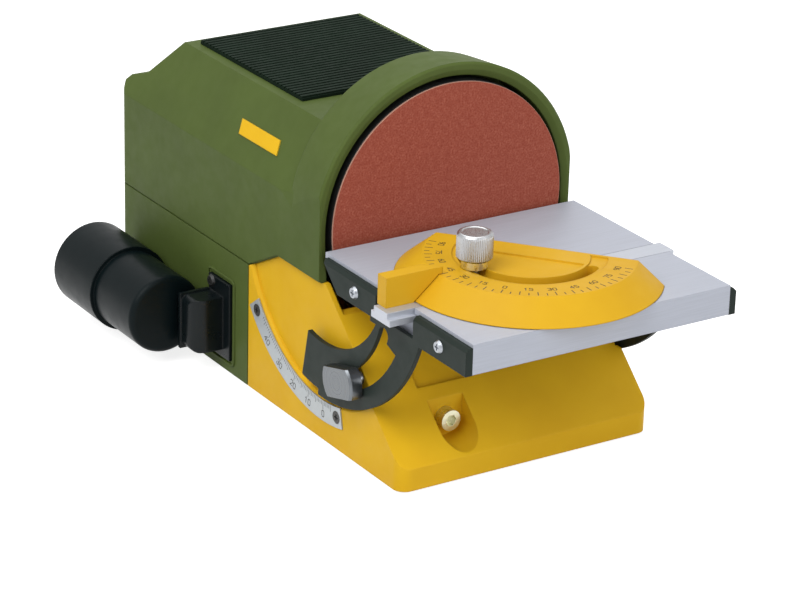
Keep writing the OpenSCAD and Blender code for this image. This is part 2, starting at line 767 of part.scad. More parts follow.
high_z = disc_z + lip_r + over;
// section of the housing behind the collar, shrunk by d
function roof(d) = let(w = half_w - d, k = half_w - knee_in - d, t = top_hw - d)
  [[-w, low_z], [w, low_z], [w, crease_z], [k, knee_z], [t, top_z - d], [-t, top_z - d], [-k, knee_z],
      [-w, crease_z]];
function rear(d) = [[collar_y - over, low_z], [back_y - d, low_z],
  [back_y - d, top_z - fall_drop - ledge_drop - ledge_lip - d], [back_y - ledge_lip - d,
      top_z - fall_drop - ledge_drop - d],
  [fall_y + fall_len - d, top_z - fall_drop - d], [fall_y - d, top_z - d], [fall_y - d, high_z],
      [collar_y - over, high_z]];
// half round above the spindle axis
module over_axis() {
  intersection() {
    children();
    box(-body_w, body_w, front_y, back_y, disc_z, disc_z + body_w);
  }
}
module upper_skin(d, y0, arch) {
  intersection() {
    union() {
      box(d - half_w, half_w - d, y0, back_y, low_z, disc_z);
      if (arch) over_axis() {
        cone_y(lip_r - rim_bevel, lip_r, collar_y, collar_y + rim_bevel, [0, disc_z]);
        cone_y(lip_r, collar_r, collar_y + rim_bevel, collar_back_y, [0, disc_z]);
      }
      over_axis() cone_y(collar_r - d, top_z - disc_z - d, max(y0, collar_back_y - over),
          collar_back_y + collar_fall, [0, disc_z]);
      intersection() {
        prism_y(roof(d), y0, back_y);
        union() {
          cone_y(collar_r - d, corner_far - d, shoulder_y, shoulder_y + shoulder_len, [0, disc_z]);
          box(-body_w, body_w, shoulder_y + shoulder_len, back_y, low_z, high_z);
        }
      }
    }
    prism_x(rear(d), -body_w, body_w);
    round_plan(half_w - d, collar_y, back_y - d, corner_r - d, low_z, high_z);
  }
}
// outline under the upper housing, lifted by e
function front_cut(e) = [[collar_y - over, low_z - over], [collar_y - over, cheek_z + e],
    [cheek_back_y, cheek_z + e],
  [joint_y, seam_z + e], [back_y + over, seam_z + e], [back_y + over, low_z - over]];
module upper_housing() color("darkolivegreen") difference() {
  union() {
    difference() {
      upper_skin(0, collar_y, true);
      upper_skin(wall_t, part_back, false);
      rod_y(chamber_r, collar_y - over, part_y, [0, disc_z]);
      box(-chamber_r, chamber_r, collar_y - over, part_y, low_z - over, disc_z);
      cone_y(chamber_r + mouth_bevel, chamber_r, collar_y, collar_y + mouth_depth, [0, disc_z]);
    }
    for (s = post_spots) {
      rod_z(post_r, seam_z, post_top, s);
      box(min(s[0], sign(s[0]) * (in_w + over)), max(s[0], sign(s[0]) * (in_w + over)),
          s[1] - wall_t / 2, s[1] + wall_t / 2, seam_z, post_top);
    }
    for (y = [dial_y - board_len / 3, dial_y + board_len / 3])
      rod_x(screw_r * 2, in_w - board_gap, in_w + over, [y, crease_z - board_h]);
  }
  prism_x(front_cut(0), -body_w, body_w);
  // shadow gap along the level seam
  difference() {
    prism_x(front_cut(seam_gap), -body_w, body_w);
    box(seam_depth - half_w, half_w - seam_depth, collar_y - 2 * over, back_y - seam_depth,
        low_z - 2 * over, high_z);
  }
  rod_y(bearing_r + block_wall - skin_t + run_gap, part_y - over, part_back + over, [0, disc_z]);
  for (a = [45 : 90 : 315]) rod_y(screw_r, part_y + over, part_back + over,
    [(flange_r - cheek_t) * cos(a), disc_z + (flange_r - cheek_t) * sin(a)]);
  for (s = post_spots) rod_z(screw_r, seam_z - over, post_top - screw_r, s);
  for (y = [dial_y - board_len / 3, dial_y + board_len / 3])
    rod_x(screw_r / 2, in_w - board_gap - over, in_w - over, [y, crease_z - board_h]);
}
module tie_strap() color("silver") difference() {
  union() {
    box(pocket_x - strap_w / 2, pocket_x + strap_w / 2, pocket_y + cheek_t + fix_gap, port_y1, floor_z,
        floor_z + strap_t);
    box(pocket_x - strap_w / 2, pocket_x + strap_w / 2, pocket_y + cheek_t + fix_gap,
      pocket_y + cheek_t + fix_gap + strap_t, floor_z, pocket_z + cap_head_r);
  }
  rod_y(cap_r + run_gap, pocket_y, pocket_y + 3 * cheek_t, [pocket_x, pocket_z]);
}
module front_screw() color("khaki") translate([pocket_x, pocket_y, pocket_z]) rotate([90, 0, 0])
  cap_screw(cheek_t + fix_gap + strap_t);
module rubber_feet() color("dimgray") for (s = foot_spots) {
  rod_z(foot_r, 0, foot_h, s);
  rod_z(foot_r / 3 - run_gap, foot_h / 2, floor_z + foot_drop, s);
}
module housing_screws() color("silver") for (s = post_spots) translate([s[0], s[1], deep_z]) mirror([0,
    0, 1])
  small_screw(2 * post_r + post_r + head_screw_h);
// start and end of a rib within its step
rib_shares = [0.2, 0.8];
module top_mat() color("dimgray") {
  box(-mat_hw, mat_hw, mat_y, mat_y + mat_len, top_z, top_z + mat_t);
  for (i = [0 : mat_ribs - 1]) box(-mat_hw, mat_hw, mat_y + (i + rib_shares[0]) * mat_len / mat_ribs,
    mat_y + (i + rib_shares[1]) * mat_len / mat_ribs, top_z + mat_t / 2, top_z + mat_t + mat_rib_h);
}

/* suction adaptor */
// block with a round outer edge and rounded long edges, shrunk by d
module duct_block(d, x0, y0, y1) {
  z0 = elbow_z0 + d;
  z1 = elbow_z0 + elbow_h - d;
  r = elbow_r - d;
  e = r / 2;
  intersection() {
    translate([0, 0, z0]) linear_extrude(z1 - z0) union() {
      translate([d - elbow_x, y0 + r]) square([elbow_x - d - x0, y1 - y0 - r]);
      translate([d - elbow_x + r, y0]) square([elbow_x - d - r - x0, y1 - y0]);
      translate([d - elbow_x + r, y0 + r]) circle(r);
    }
    translate([0, y1, 0]) rotate([90, 0, 0]) linear_extrude(y1 - y0) union() {
      translate([d - elbow_x, z0 + e]) square([elbow_x - d - x0, z1 - z0 - 2 * e]);
      translate([d - elbow_x + e, z0]) square([elbow_x - d - e - x0, z1 - z0]);
      for (z = [z0 + e, z1 - e]) translate([d - elbow_x + e, z]) circle(e);
    }
  }
}
port_screw = [port_y1 - head_screw_r, port_z1 - head_screw_r];
module suction_elbow() color("dimgray") difference() {
  union() {
    box(-seat_x - port_t, -seat_x, port_y0, port_y1, port_z, port_z1);
    duct_block(0, seat_x, elbow_y0, elbow_y1);
    box(-elbow_x - over, -neck_x + duct_t + duct_t, elbow_y1 - duct_t, elbow_y1, elbow_z0 - over,
        elbow_z0 + elbow_h + over);
    box(-elbow_x + duct_t, -neck_x, elbow_y1 - over, tube_y + duct_t + duct_t, neck_z, neck_z + neck_h);
  }
  duct_block(duct_t, seat_x - over, elbow_y0 + duct_t, elbow_y1 - duct_t);
  box(-elbow_x + 2 * duct_t, -neck_x - duct_t, elbow_y1 - 2 * duct_t, tube_y + 3 * duct_t,
      neck_z + duct_t, neck_z + neck_h - duct_t);
  rod_x(screw_r + run_gap, -half_w - port_t, over - seat_x, port_screw);
}
module suction_screw() color("dimgray") translate([-seat_x - port_t, port_screw[0], port_screw[1]])
  rotate([0, -90, 0]) small_screw(port_t + wall_t);
step_y = tube_y + tube_len_a;
tube_end = step_y + tube_len_b;
module suction_tube() color("dimgray") difference() {
  translate([-tube_x, 0, tube_z]) rotate([-90, 0, 0]) rotate_extrude() union() {
    translate([0, tube_y]) square([tube_ra - tube_edge, tube_len_a]);
    translate([0, tube_y + tube_edge]) square([tube_ra, tube_len_a - tube_edge]);
    translate([tube_ra - tube_edge, tube_y + tube_edge]) circle(tube_edge);
    translate([0, step_y]) square([tube_rb, tube_len_b]);
  }
  rod_y(tube_ra - duct_t, tube_y + duct_t + over, step_y + duct_t, [-tube_x, tube_z]);
  rod_y(tube_rb - duct_t, step_y + duct_t, tube_end + over, [-tube_x, tube_z]);
  box(-elbow_x + duct_t - fix_gap, -neck_x + fix_gap, tube_y - over, tube_y + tube_edge + duct_t,
      neck_z - fix_gap, neck_z + neck_h + fix_gap);
}

/* tilt guide on the base */
module tilt_scale() color("silver") difference() {
  ring_part(scale_in, scale_in + scale_w, scale_low_ang, scale_top_ang, -half_w - scale_t, -half_w);
  for (a = scale_angs) sink(a);
}
scale_angs = [scale_top_ang - scale_screw_ang, scale_low_ang + scale_screw_ang];
sink_x = half_w + scale_t;
// countersink of a scale screw
module sink(a) {
  cone_x(head_screw_r + fix_gap, screw_r + fix_gap, -sink_x, head_screw_h - sink_x, at_axis(scale_mid, a));
}
module scale_screws() color("dimgray") for (a = scale_angs) {
  p = at_axis(scale_mid, a);
  difference() {
    union() {
      cone_x(head_screw_r, screw_r, -sink_x, head_screw_h - sink_x, p);
      rod_x(screw_r, head_screw_h - over - sink_x, -bay_w, p);
    }
    for (t = [0, 90]) translate([-sink_x, p[0], p[1]]) rotate([t, 0, 0])
      box(-over, head_screw_h / 2, -screw_r, screw_r, -screw_r / 4, screw_r / 4);
  }
}
module clamp_stud() color("silver") rod_x(stud_r, -knob_x0 - knob_len / 2, -bay_w, stud_at);
module guide_bolt() color("silver") difference() {
  union() {
    rod_x(stud_r, bay_w, quad_x1 + over, stud_at);
    rod_x(knob_r - stud_r, knob_x0, knob_x0 + cap_head_h, stud_at);
  }
  translate([knob_x0 + cap_head_h / 2, stud_at[0], stud_at[1]]) rotate([0, 90,
      0]) cylinder(r = socket_r, h = cap_head_h, $fn = 6);
}

/* spindle unit */
module bearing_block() color("silver") difference() {
  union() {
    rod_y(flange_r, part_back, part_back + flange_t, [0, disc_z]);
    rod_y(bearing_r + block_wall - skin_t, part_y, part_back + over, [0, disc_z]);
    rod_y(bearing_r + block_wall, part_back, part_back + block_len, [0, disc_z]);
  }
  rod_y(bearing_r + run_gap, bear_a, part_back + block_len + over, [0, disc_z]);
  rod_y(bearing_r - skin_t, part_y - over, part_back + block_len, [0, disc_z]);
  for (a = [45 : 90 : 315]) rod_y(screw_r + fix_gap, part_back - over, part_back + flange_t + over,
    [(flange_r - cheek_t) * cos(a), disc_z + (flange_r - cheek_t) * sin(a)]);
}
module block_screws() color("silver") for (a = [45 : 90 : 315])
  translate([(flange_r - cheek_t) * cos(a), part_back + flange_t, disc_z + (flange_r - cheek_t) * sin(a)])
    rotate([-90, 0, 0]) small_screw(flange_t + part_t - 2 * over);
module bearing_ring(r0, r1) for (y = [bear_a, bear_b]) difference() {
  rod_y(r1, y, y + bearing_w, [0, disc_z]);
  rod_y(r0, y - over, y + bearing_w + over, [0, disc_z]);
}
module bearing_outers() color("silver") bearing_ring(ball_at + ball_r / 2, bearing_r);
module bearing_inners() color("silver") bearing_ring(spindle_r, ball_at - ball_r / 2);
module bearing_balls() color("silver") for (y = [bear_a, bear_b], i = [0 : ball_count - 1])
  translate([ball_at * cos(i * 360 / ball_count), y + bearing_w / 2,
      disc_z + ball_at * sin(i * 360 / ball_count)]) sphere(ball_r / 2 - run_gap);
module spindle() color("silver") {
  rod_y(spindle_r - run_gap / 2, plate_y + plate_t, spindle_end_y, [0, disc_z]);
  rod_y(ball_at - ball_r, hub_y, bear_a, [0, disc_z]);
}
module disc_plate() color("dimgray") difference() {
  union() {
    rod_y(disc_r, plate_y, plate_y + rim_depth, [0, disc_z]);
    rod_y(hub_r, plate_y + over, hub_y, [0, disc_z]);
  }
  difference() {
    rod_y(disc_r - rim_w, plate_y + plate_t, plate_y + rim_depth + over, [0, disc_z]);
    rod_y(hub_r, plate_y, hub_y, [0, disc_z]);
  }
  rod_y(spindle_r, plate_y + plate_t, hub_y + over, [0, disc_z]);
  rod_z(cap_r + run_gap, disc_z + spindle_r / 2, disc_z + hub_r + over, [0, hub_y - cheek_t]);
}
module abrasive_disc() color("sienna") rod_y(disc_r - paper_t / 4, 0, paper_t, [0, disc_z]);
module disc_setscrew() color("dimgray") difference() {
  rod_z(cap_r, disc_z + spindle_r, disc_z + hub_r - paper_t, [0, hub_y - cheek_t]);
  translate([0, hub_y - cheek_t, disc_z + hub_r - paper_t - cap_r]) cylinder(r = cap_r / 2,
      h = cap_head_h, $fn = 6);
}

/* drive */
module pulley(r, bore, at) difference() {
  union() {
    rod_y(r, pulley_y, pulley_y + pulley_w, at);
    rod_y(r + pulley_rim, pulley_y, pulley_y + rim_t, at);
    rod_y(r + pulley_rim, pulley_y + pulley_w - rim_t, pulley_y + pulley_w, at);
  }
  rod_y(bore, pulley_y - over, pulley_y + pulley_w + over, at);
}
module driven_pulley() color("silver") pulley(driven_r, spindle_r, [0, disc_z]);
module motor_pulley() color("silver") pulley(motor_pr, shaft_r + run_gap, [motor_x, motor_z]);
// loop round both pulleys, seen along the spindle
belt_c = norm([motor_x, disc_z - motor_z]);
belt_a = atan2(motor_z - disc_z, motor_x);
belt_s = acos((driven_r - motor_pr) / belt_c);
// number of steps round the small pulley
belt_n = 24;
// outline of the loop, grown by e
function belt_line(e) = concat(
  [for (i = [0 : 2 * belt_n]) let(t = belt_a + belt_s + (360 - 2 * belt_s) * i / (2 * belt_n))
    [0, disc_z] + (driven_r + e) * [cos(t), sin(t)]],
  [for (i = [0 : belt_n]) let(t = belt_a - belt_s + 2 * belt_s * i / belt_n)
    [motor_x, motor_z] + (motor_pr + e) * [cos(t), sin(t)]]);
module drive_belt() color("dimgray") difference() {
  prism_y(belt_line(ride_gap + belt_t), pulley_y + rim_t + ride_gap,
      pulley_y + pulley_w - rim_t - ride_gap);
  prism_y(belt_line(ride_gap), pulley_y, pulley_y + pulley_w);
}
module motor_bracket() color("silver") difference() {
  union() {
    box(motor_x - motor_r, motor_x + motor_r, bracket_y, can_y, floor_z, motor_z + motor_r);
    box(motor_x - motor_r, motor_x + motor_r, bracket_y, bracket_y + post_r + post_r, floor_z,
        floor_z + bracket_t);
  }
  rod_y(shaft_r + bracket_t, bracket_y - over, can_y + over, [motor_x, motor_z]);
  for (s = [-1, 1]) rod_y(screw_r + fix_gap, bracket_y - over, can_y + over, [motor_x + s * rotor_r,
      motor_z]);
}
module motor_can() color("dimgray") difference() {
  rod_y(motor_r, can_y, bell_y, [motor_x, motor_z]);
  rod_y(motor_r - can_t, can_y + can_t, bell_y + over, [motor_x, motor_z]);
  rod_y(shaft_r + bracket_t, can_y - over, can_y + can_t + over, [motor_x, motor_z]);
  for (s = [-1, 1]) rod_y(screw_r, can_y - over, can_y + can_t + over, [motor_x + s * rotor_r, motor_z]);
}
module motor_bell() color("gray") difference() {
  rod_y(motor_r, bell_y, bell_end, [motor_x, motor_z]);
  rod_y(motor_r - can_t, bell_y - over, bell_end - bracket_t, [motor_x, motor_z]);
  rod_y(shaft_r + bracket_t, bell_end - bracket_t - over, bell_end + over, [motor_x, motor_z]);
  for (a = [0 : 60 : 300]) rod_y(bracket_t, bell_end - bracket_t - over, bell_end + over,
    [motor_x + rotor_r * cos(a), motor_z + rotor_r * sin(a)]);
}
module motor_screws() color("silver") for (s = [-1, 1])
  translate([motor_x + s * rotor_r, bracket_y, motor_z]) rotate([90, 0, 0]) small_screw(bracket_t + can_t);
module motor_shaft() color("silver") rod_y(shaft_r, pulley_y, shaft_end, [motor_x, motor_z]);
rotor_y = can_y + (motor_len - rotor_len) / 2;
module motor_rotor() color("peru") difference() {
  union() {
    rod_y(rotor_r, rotor_y, rotor_y + rotor_len, [motor_x, motor_z]);
    rod_y(rotor_r / 2, rotor_y, rotor_y + rotor_len + cheek_t, [motor_x, motor_z]);
  }
  rod_y(shaft_r + run_gap, rotor_y - over, rotor_y + rotor_len + 2 * cheek_t, [motor_x, motor_z]);
  for (a = [0 : 45 : 315]) translate([motor_x, 0, motor_z]) rotate([0, a, 0])
    box(rotor_r - bracket_t, rotor_r + over, rotor_y - over, rotor_y + rotor_len + over, -screw_r / 2,
        screw_r / 2);
}
fan_y = bell_end + ride_gap + ride_gap;
module cooling_fan() color("dimgray") difference() {
  union() {
    rod_y(2 * shaft_r, fan_y, fan_y + fan_len, [motor_x, motor_z]);
    rod_y(fan_r, fan_y + fan_len - screw_r, fan_y + fan_len, [motor_x, motor_z]);
    for (i = [0 : fan_blades - 1]) translate([motor_x, 0, motor_z]) rotate([0, i * 360 / fan_blades, 0])
      box(shaft_r + over, fan_r - over, fan_y, fan_y + fan_len - over, -screw_r / 2, screw_r / 2);
  }
  rod_y(shaft_r + run_gap, fan_y - over, fan_y + fan_len + over, [motor_x, motor_z]);
}

/* controls */
module control_board() color("darkgreen") {
  difference() {
    box(in_w - board_gap - board_t, in_w - board_gap, dial_y - board_len / 2, dial_y + board_len / 2,
      crease_z - board_h - board_h / 2, crease_z - board_h / 2);
    for (y = [dial_y - board_len / 3, dial_y + board_len / 3])
      rod_x(screw_r, in_w - board_gap - 2 * board_t, in_w, [y, crease_z - board_h]);
  }
  for (y = [dial_y - board_len / 4, dial_y, dial_y + board_len / 4])
    rod_x(pot_r / 2, in_w - board_gap - board_t - pot_r, in_w - board_gap - board_t, [y,
        crease_z - board_h + pot_r]);
}
module switch_body() color("dimgray") difference() {
  union() {
    box(half_w, half_w + switch_t, switch_y - switch_len / 2, switch_y + switch_len / 2,
        panel_z - switch_h / 2, panel_z + switch_h / 2);
    box(half_w - switch_depth, half_w + over, switch_y - switch_len / 2 + switch_t + fix_gap,
      switch_y + switch_len / 2 - switch_t - fix_gap, panel_z - switch_h / 2 + switch_t + fix_gap,
          panel_z + switch_h / 2 - switch_t - fix_gap);
  }
  box(half_w - switch_depth / 2, half_w + switch_t + over, switch_y - rocker_len / 2 - ride_gap,
      switch_y + rocker_len / 2 + ride_gap,
    panel_z - rocker_h / 2 - ride_gap, panel_z + rocker_h / 2 + ride_gap);
}
module switch_rocker() color("black") intersection() {
  rod_z(rocker_len / 2, panel_z - rocker_h / 2, panel_z + rocker_h / 2, [half_w - switch_t, switch_y]);
  union() {
    prism_z([[half_w - 2 * switch_t, switch_y - rocker_len / 2], [half_w + switch_t / 2,
        switch_y - rocker_len / 2],
      [half_w + switch_t, switch_y], [half_w + 2 * switch_t, switch_y + rocker_len / 2],
      [half_w - 2 * switch_t, switch_y + rocker_len / 2]], panel_z - rocker_h / 2, panel_z + rocker_h / 2);
  }
}
module prism_z(points, z0, z1) {
  translate([0, 0, z0]) linear_extrude(z1 - z0) polygon(points);
}
module speed_pot() color("silver") difference() {
  rod_x(pot_r, in_w - pot_len, in_w, [dial_y, panel_z]);
  rod_x(pot_shaft_r + run_gap, in_w - pot_len / 2, in_w + over, [dial_y, panel_z]);
}
module speed_dial() color("black") difference() {
  union() {
    cone_x(dial_r, dial_r - screw_r / 2, half_w + ride_gap, half_w + dial_len, [dial_y, panel_z]);
    rod_x(pot_shaft_r, in_w - pot_len / 2 + ride_gap, half_w + dial_len / 2, [dial_y, panel_z]);
  }
  for (i = [0 : dial_flutes - 1]) rod_x(screw_r, half_w + dial_len / 4, half_w + dial_len + over,
    [dial_y + dial_r * cos(i * 360 / dial_flutes), panel_z + dial_r * sin(i * 360 / dial_flutes)]);
}
module cable_gland() color("dimgray") difference() {
  union() {
    rod_y(gland_r, back_y - 2 * wall_t, back_y + wall_t, [gland_x, gland_z]);
    rod_y(gland_r + screw_r, back_y, back_y + screw_r, [gland_x, gland_z]);
  }
  rod_y(gland_bore, back_y - 3 * wall_t, back_y + 2 * wall_t, [gland_x, gland_z]);
}

/* table */
table_side = [[axis_y, table_z], [axis_y, table_z - lip_t], [axis_y - lip_bevel, table_bot],
    [table_front, table_bot], [table_front, table_z]];
bay_back = axis_y - lip_bevel - table_rib;
zone_back = gauge_y + foot_w / 2 + table_rib;
zone_front = gauge_y - foot_w / 2 - table_rib;
module table_plate() color("silver") difference() {
  prism_x(table_side, -quad_x0, quad_x0);
  box(-quad_x0 - over, quad_x0 + over, gauge_y - slit_w / 2, gauge_y + slit_w / 2, groove_z,
      table_z + over);
  box(-quad_x0 - over, quad_x0 + over, gauge_y - foot_w / 2, gauge_y + foot_w / 2, groove_z,
      bar_z + bar_t + ride_gap);
  for (s = [[zone_back, bay_back], [table_front + table_rib, zone_front]], i = [-1, 0, 1])
    translate([i * 2 * quad_x0 / 3, 0, 0]) box(table_rib - quad_x0 / 3, quad_x0 / 3 - table_rib, s[0],
        s[1], table_bot - over, table_z - table_skin);
  both_sides() for (y = screw_ys) rod_x(screw_r, quad_x0 - table_rib - table_rib, quad_x0 + over, [y,
      screw_z]);
}
screw_z = arm_z - arm_h / 2;
// place of the back screw along the back arm
screw_share = 0.7;
screw_ys = [axis_y - arm_back * screw_share, table_front + arm_front / 2];
arm_slant = lip_bevel + lip_t;
end_line = quad_heel - quad_tip;
end_low = from_axis(quad_heel + end_line);
end_high = from_axis(quad_tip - end_line / 4);
ring_top = arm_low + quad_t;
// plate of the quadrant between its outer and inner round
module ring_plate(r, y0, y1) {
  intersection() {
    difference() {
      rod_x(r, -quad_x1, -ring_x, out_at);
      rod_x(quad_in, -quad_x1 - over, over - ring_x, in_at);
    }
    prism_x([end_high, end_low, [gap_y1 - table_t, end_low[1]], [gap_y1 - table_t, ring_top], [gap_y0,
        ring_top]], -quad_x1, -ring_x);
    box(-quad_x1, -ring_x, y0, y1, foot_drop, table_z);
  }
}
module quadrant() difference() {
  union() {
    ring_plate(quad_out, table_front, axis_y + mark_y);
    ring_plate(quad_out - mark_step, axis_y + mark_y - over, axis_y + quad_out);
    prism_x([[axis_y - ride_gap - lip_t, arm_z], [axis_y - ride_gap - lip_t - arm_slant, arm_low],
      [gap_y0, arm_low], [gap_y0, arm_z]], -quad_x1, -quad_x0);
    box(-quad_x1, -quad_x0, table_front, gap_y1, arm_low, arm_z);
    box(-quad_x1, -quad_x0, gap_y0 - arm_h / 2, gap_y0 + arm_h / 3, arm_low - quad_t, ring_top);
  }
  // clamp slot and the window beside it
  ring_part(slot_r - end_half, slot_r + end_half, slot_a1, slot_a0, -quad_x1 - over, over - ring_x);
  for (a = [slot_a0, slot_a1]) rod_x(end_half, -quad_x1 - over, over - ring_x, at_axis(slot_r, a));
  intersection() {
    difference() {
      rod_x(window_out, -quad_x1 - over, over - ring_x, in_at);
      rod_x(window_in, -quad_x1 - 2 * over, 2 * over - ring_x, in_at);
    }
    prism_x(sector(2 * quad_out, stud_ang - tilt_down, slot_a0), -quad_x1 - over, over - ring_x);
  }
  // room for the gauge bar
  box(-quad_x1 - over, over - quad_x0, gap_y1, gap_y0, ring_top, table_z);
  for (y = screw_ys) rod_x(screw_r + fix_gap, -quad_x1 - over, over - quad_x0, [y, screw_z]);
  prism_y([[-quad_x1 - over, arm_z - arm_bevel - over], [-quad_x1 + arm_bevel + over, arm_z + over],
      [-quad_x1 - over, arm_z + over]],
    table_front - over, axis_y);
}
module left_quadrant() color("darkslategray") quadrant();
module right_quadrant() color("darkslategray") mirror([1, 0, 0]) quadrant();
module table_screws() color("silver") both_sides() for (y = screw_ys)
  translate([quad_x1, y, screw_z]) rotate([0, 90, 0]) small_screw(screw_len);
module clamp_knob() color("silver") difference() {
  union() {
    intersection() {
      union() {
        rod_x(knob_r, -knob_x0 - knob_len + rim_bevel, -knob_x0 - knob_len + knob_face, stud_at);
        cone_x(knob_r - rim_bevel, knob_r, -knob_x0 - knob_len, -knob_x0 - knob_len + rim_bevel, stud_at);
      }
      translate([0, stud_at[0], stud_at[1]]) rotate([knob_ang, 0, 0])
        box(-knob_x0 - 2 * knob_len, 0, -knob_r - over, knob_r + over, -knob_flat / 2, knob_flat / 2);
    }
    rod_x(knob_flat / 2 - over, -knob_x0 - knob_len + knob_face - over, -knob_x0, stud_at);
  }
  rod_x(stud_r + run_gap, -knob_x0 - knob_len / 2 - ride_gap, over - knob_x0, stud_at);
}

/* mitre gauge */
module slide_bar() color("silver") difference() {
  union() {
    box(bar_x, bar_x + bar_len, gauge_y - bar_w / 2, gauge_y + bar_w / 2, bar_z, bar_z + bar_t);
    box(bar_x, bar_x + bar_len, gauge_y - strip_w / 2, gauge_y + strip_w / 2, bar_z, table_z);
  }
  rod_z(boss_r + run_gap, bar_z + bar_t / 2, table_z + over, [pivot_x, gauge_y]);
  rod_z(gauge_stud_r + run_gap, bar_z - over, table_z + over, knob_at);
  for (s = pointer_spots) rod_z(screw_r + run_gap, bar_z - over, table_z + over, s);
}
point_x0 = bar_x + point_in;
point_x1 = point_x0 + pointer_len;
point_y0 = gauge_y - ride_gap;
point_y1 = point_y0 + pointer_w;
tip_x = pivot_x - head_top_r + pointer_tip;
pointer_spots = [for (i = [1, 3]) [point_x0 + i * pointer_len / 6, point_y0 + pointer_w / 2]];
module pointer_block() color("gold") difference() {
  prism_z([[point_x0, point_y0], [tip_x, point_y0], [point_x1, point_y1], [point_x0, point_y1]],
      table_z, table_z + pointer_h);
  cone_z(head_r + 2 * ride_gap, head_top_r + 2 * ride_gap, head_z, head_top, [pivot_x, gauge_y]);
  rod_z(head_r + 2 * ride_gap, table_z - over, head_z, [pivot_x, gauge_y]);
  rod_z(head_top_r + 2 * ride_gap, head_top - run_gap, head_top + ride_gap, [pivot_x, gauge_y]);
  for (s = pointer_spots) rod_z(screw_r, table_z - over, table_z + pointer_h / 2, s);
}
module cone_z(r0, r1, z0, z1, at) {
  translate([at[0], at[1], z0]) cylinder(r1 = r0, r2 = r1, h = z1 - z0);
}
module pointer_screws() color("silver") for (s = pointer_spots) rod_z(screw_r - run_gap, bar_z + rim_t,
    table_z + pointer_h / 2 - over, s);
module mitre_stud() color("silver") rod_z(gauge_stud_r, bar_z, knob_z0 + gauge_knob_len / 2, knob_at);
module protractor_head() color("gold") translate([pivot_x, gauge_y, 0]) rotate([0, 0,
    head_angle - 90]) difference() {
  union() {
    intersection() {
      cone_z(head_r, head_top_r, head_z, head_top, [0, 0]);
      box(-head_r, head_r, -head_r, fence_off, head_z, head_top);
    }
    rod_z(boss_r, bar_z + bar_t / 2 + ride_gap, head_z + over, [0, 0]);
  }
  // slot, sunk ring and sunk panel
  intersection() {
    difference() {
      rod_z(arc_r + arc_w / 2, head_z - over, head_top + over, [0, 0]);
      rod_z(arc_r - arc_w / 2, head_z - 2 * over, head_top + 2 * over, [0, 0]);
    }
    prism_z(concat([[0, 0]],
        [for (i = [0 : 4]) 3 * arc_r * [cos(-90 - arc_half_ang + i * arc_half_ang / 2),
        sin(-90 - arc_half_ang + i * arc_half_ang / 2)]]),
      head_z - over, head_top + over);
  }
  for (s = [-1, 1]) rod_z(arc_w / 2, head_z - over, head_top + over,
      arc_r * [cos(-90 + s * arc_half_ang), sin(-90 + s * arc_half_ang)]);
  intersection() {
    rod_z(ring_r, head_top - panel_t, head_top + over, [0, 0]);
    difference() {
      box(-head_r, head_r, -head_r, fence_off - panel_rim, head_top - panel_t, head_top + over);
      rod_z(arc_r - arc_w / 2, head_top - 2 * panel_t, head_top + 2 * over, [0, 0]);
    }
  }
  intersection() {
    rod_z(arc_r - arc_w / 2 - panel_rim, head_top - panel_t, head_top + over, [0, 0]);
    box(-head_r, head_r, -head_r, -panel_rim, head_top - panel_t, head_top + over);
  }
}
module mitre_knob() color("silver") difference() {
  union() {
    rod_z(gauge_knob_r, knob_z0, knob_z1 - gauge_knob_bevel, knob_at);
    cone_z(gauge_knob_r, gauge_knob_r - gauge_knob_bevel, knob_z1 - gauge_knob_bevel, knob_z1, knob_at);
  }
  rod_z(gauge_stud_r + run_gap, knob_z0 - over, knob_z0 + gauge_knob_len / 2 + ride_gap, knob_at);
}
module knob_collar() color("khaki") difference() {
  rod_z(gauge_collar_r, collar_z0, knob_z0, knob_at);
  rod_z(gauge_stud_r + run_gap, collar_z0 - over, knob_z0 + over, knob_at);
}

front_base();
lower_housing();
upper_housing();
tie_strap();
front_screw();
rubber_feet();
top_mat();
suction_elbow();
suction_tube();
suction_screw();
housing_screws();
tilt_scale();
scale_screws();
clamp_stud();
guide_bolt();
bearing_block();
block_screws();
bearing_outers();
bearing_balls();
bearing_inners();
spindle();
disc_plate();
abrasive_disc();
disc_setscrew();
driven_pulley();
motor_bracket();
motor_can();
motor_bell();
motor_screws();
motor_shaft();
motor_rotor();
motor_pulley();
cooling_fan();
drive_belt();
control_board();
switch_body();
switch_rocker();
speed_pot();
speed_dial();
cable_gland();
table_plate();
left_quadrant();
right_quadrant();
table_screws();
clamp_knob();
slide_bar();
pointer_block();
pointer_screws();
mitre_stud();
protractor_head();
mitre_knob();
knob_collar();
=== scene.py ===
"""Looks of a benchtop disc sander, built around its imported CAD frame.

Every CAD node keeps its mesh and gets a procedural finish. Small pieces that only carry looks, such as the
printed scales, the knurled knob and the plain side plate, are made here from arrays of points.
"""

import json
import logging
import math
from dataclasses import dataclass, field
from enum import Enum
from typing import Any, Sequence

import bpy
import numpy as np
from mathutils import Matrix, Vector


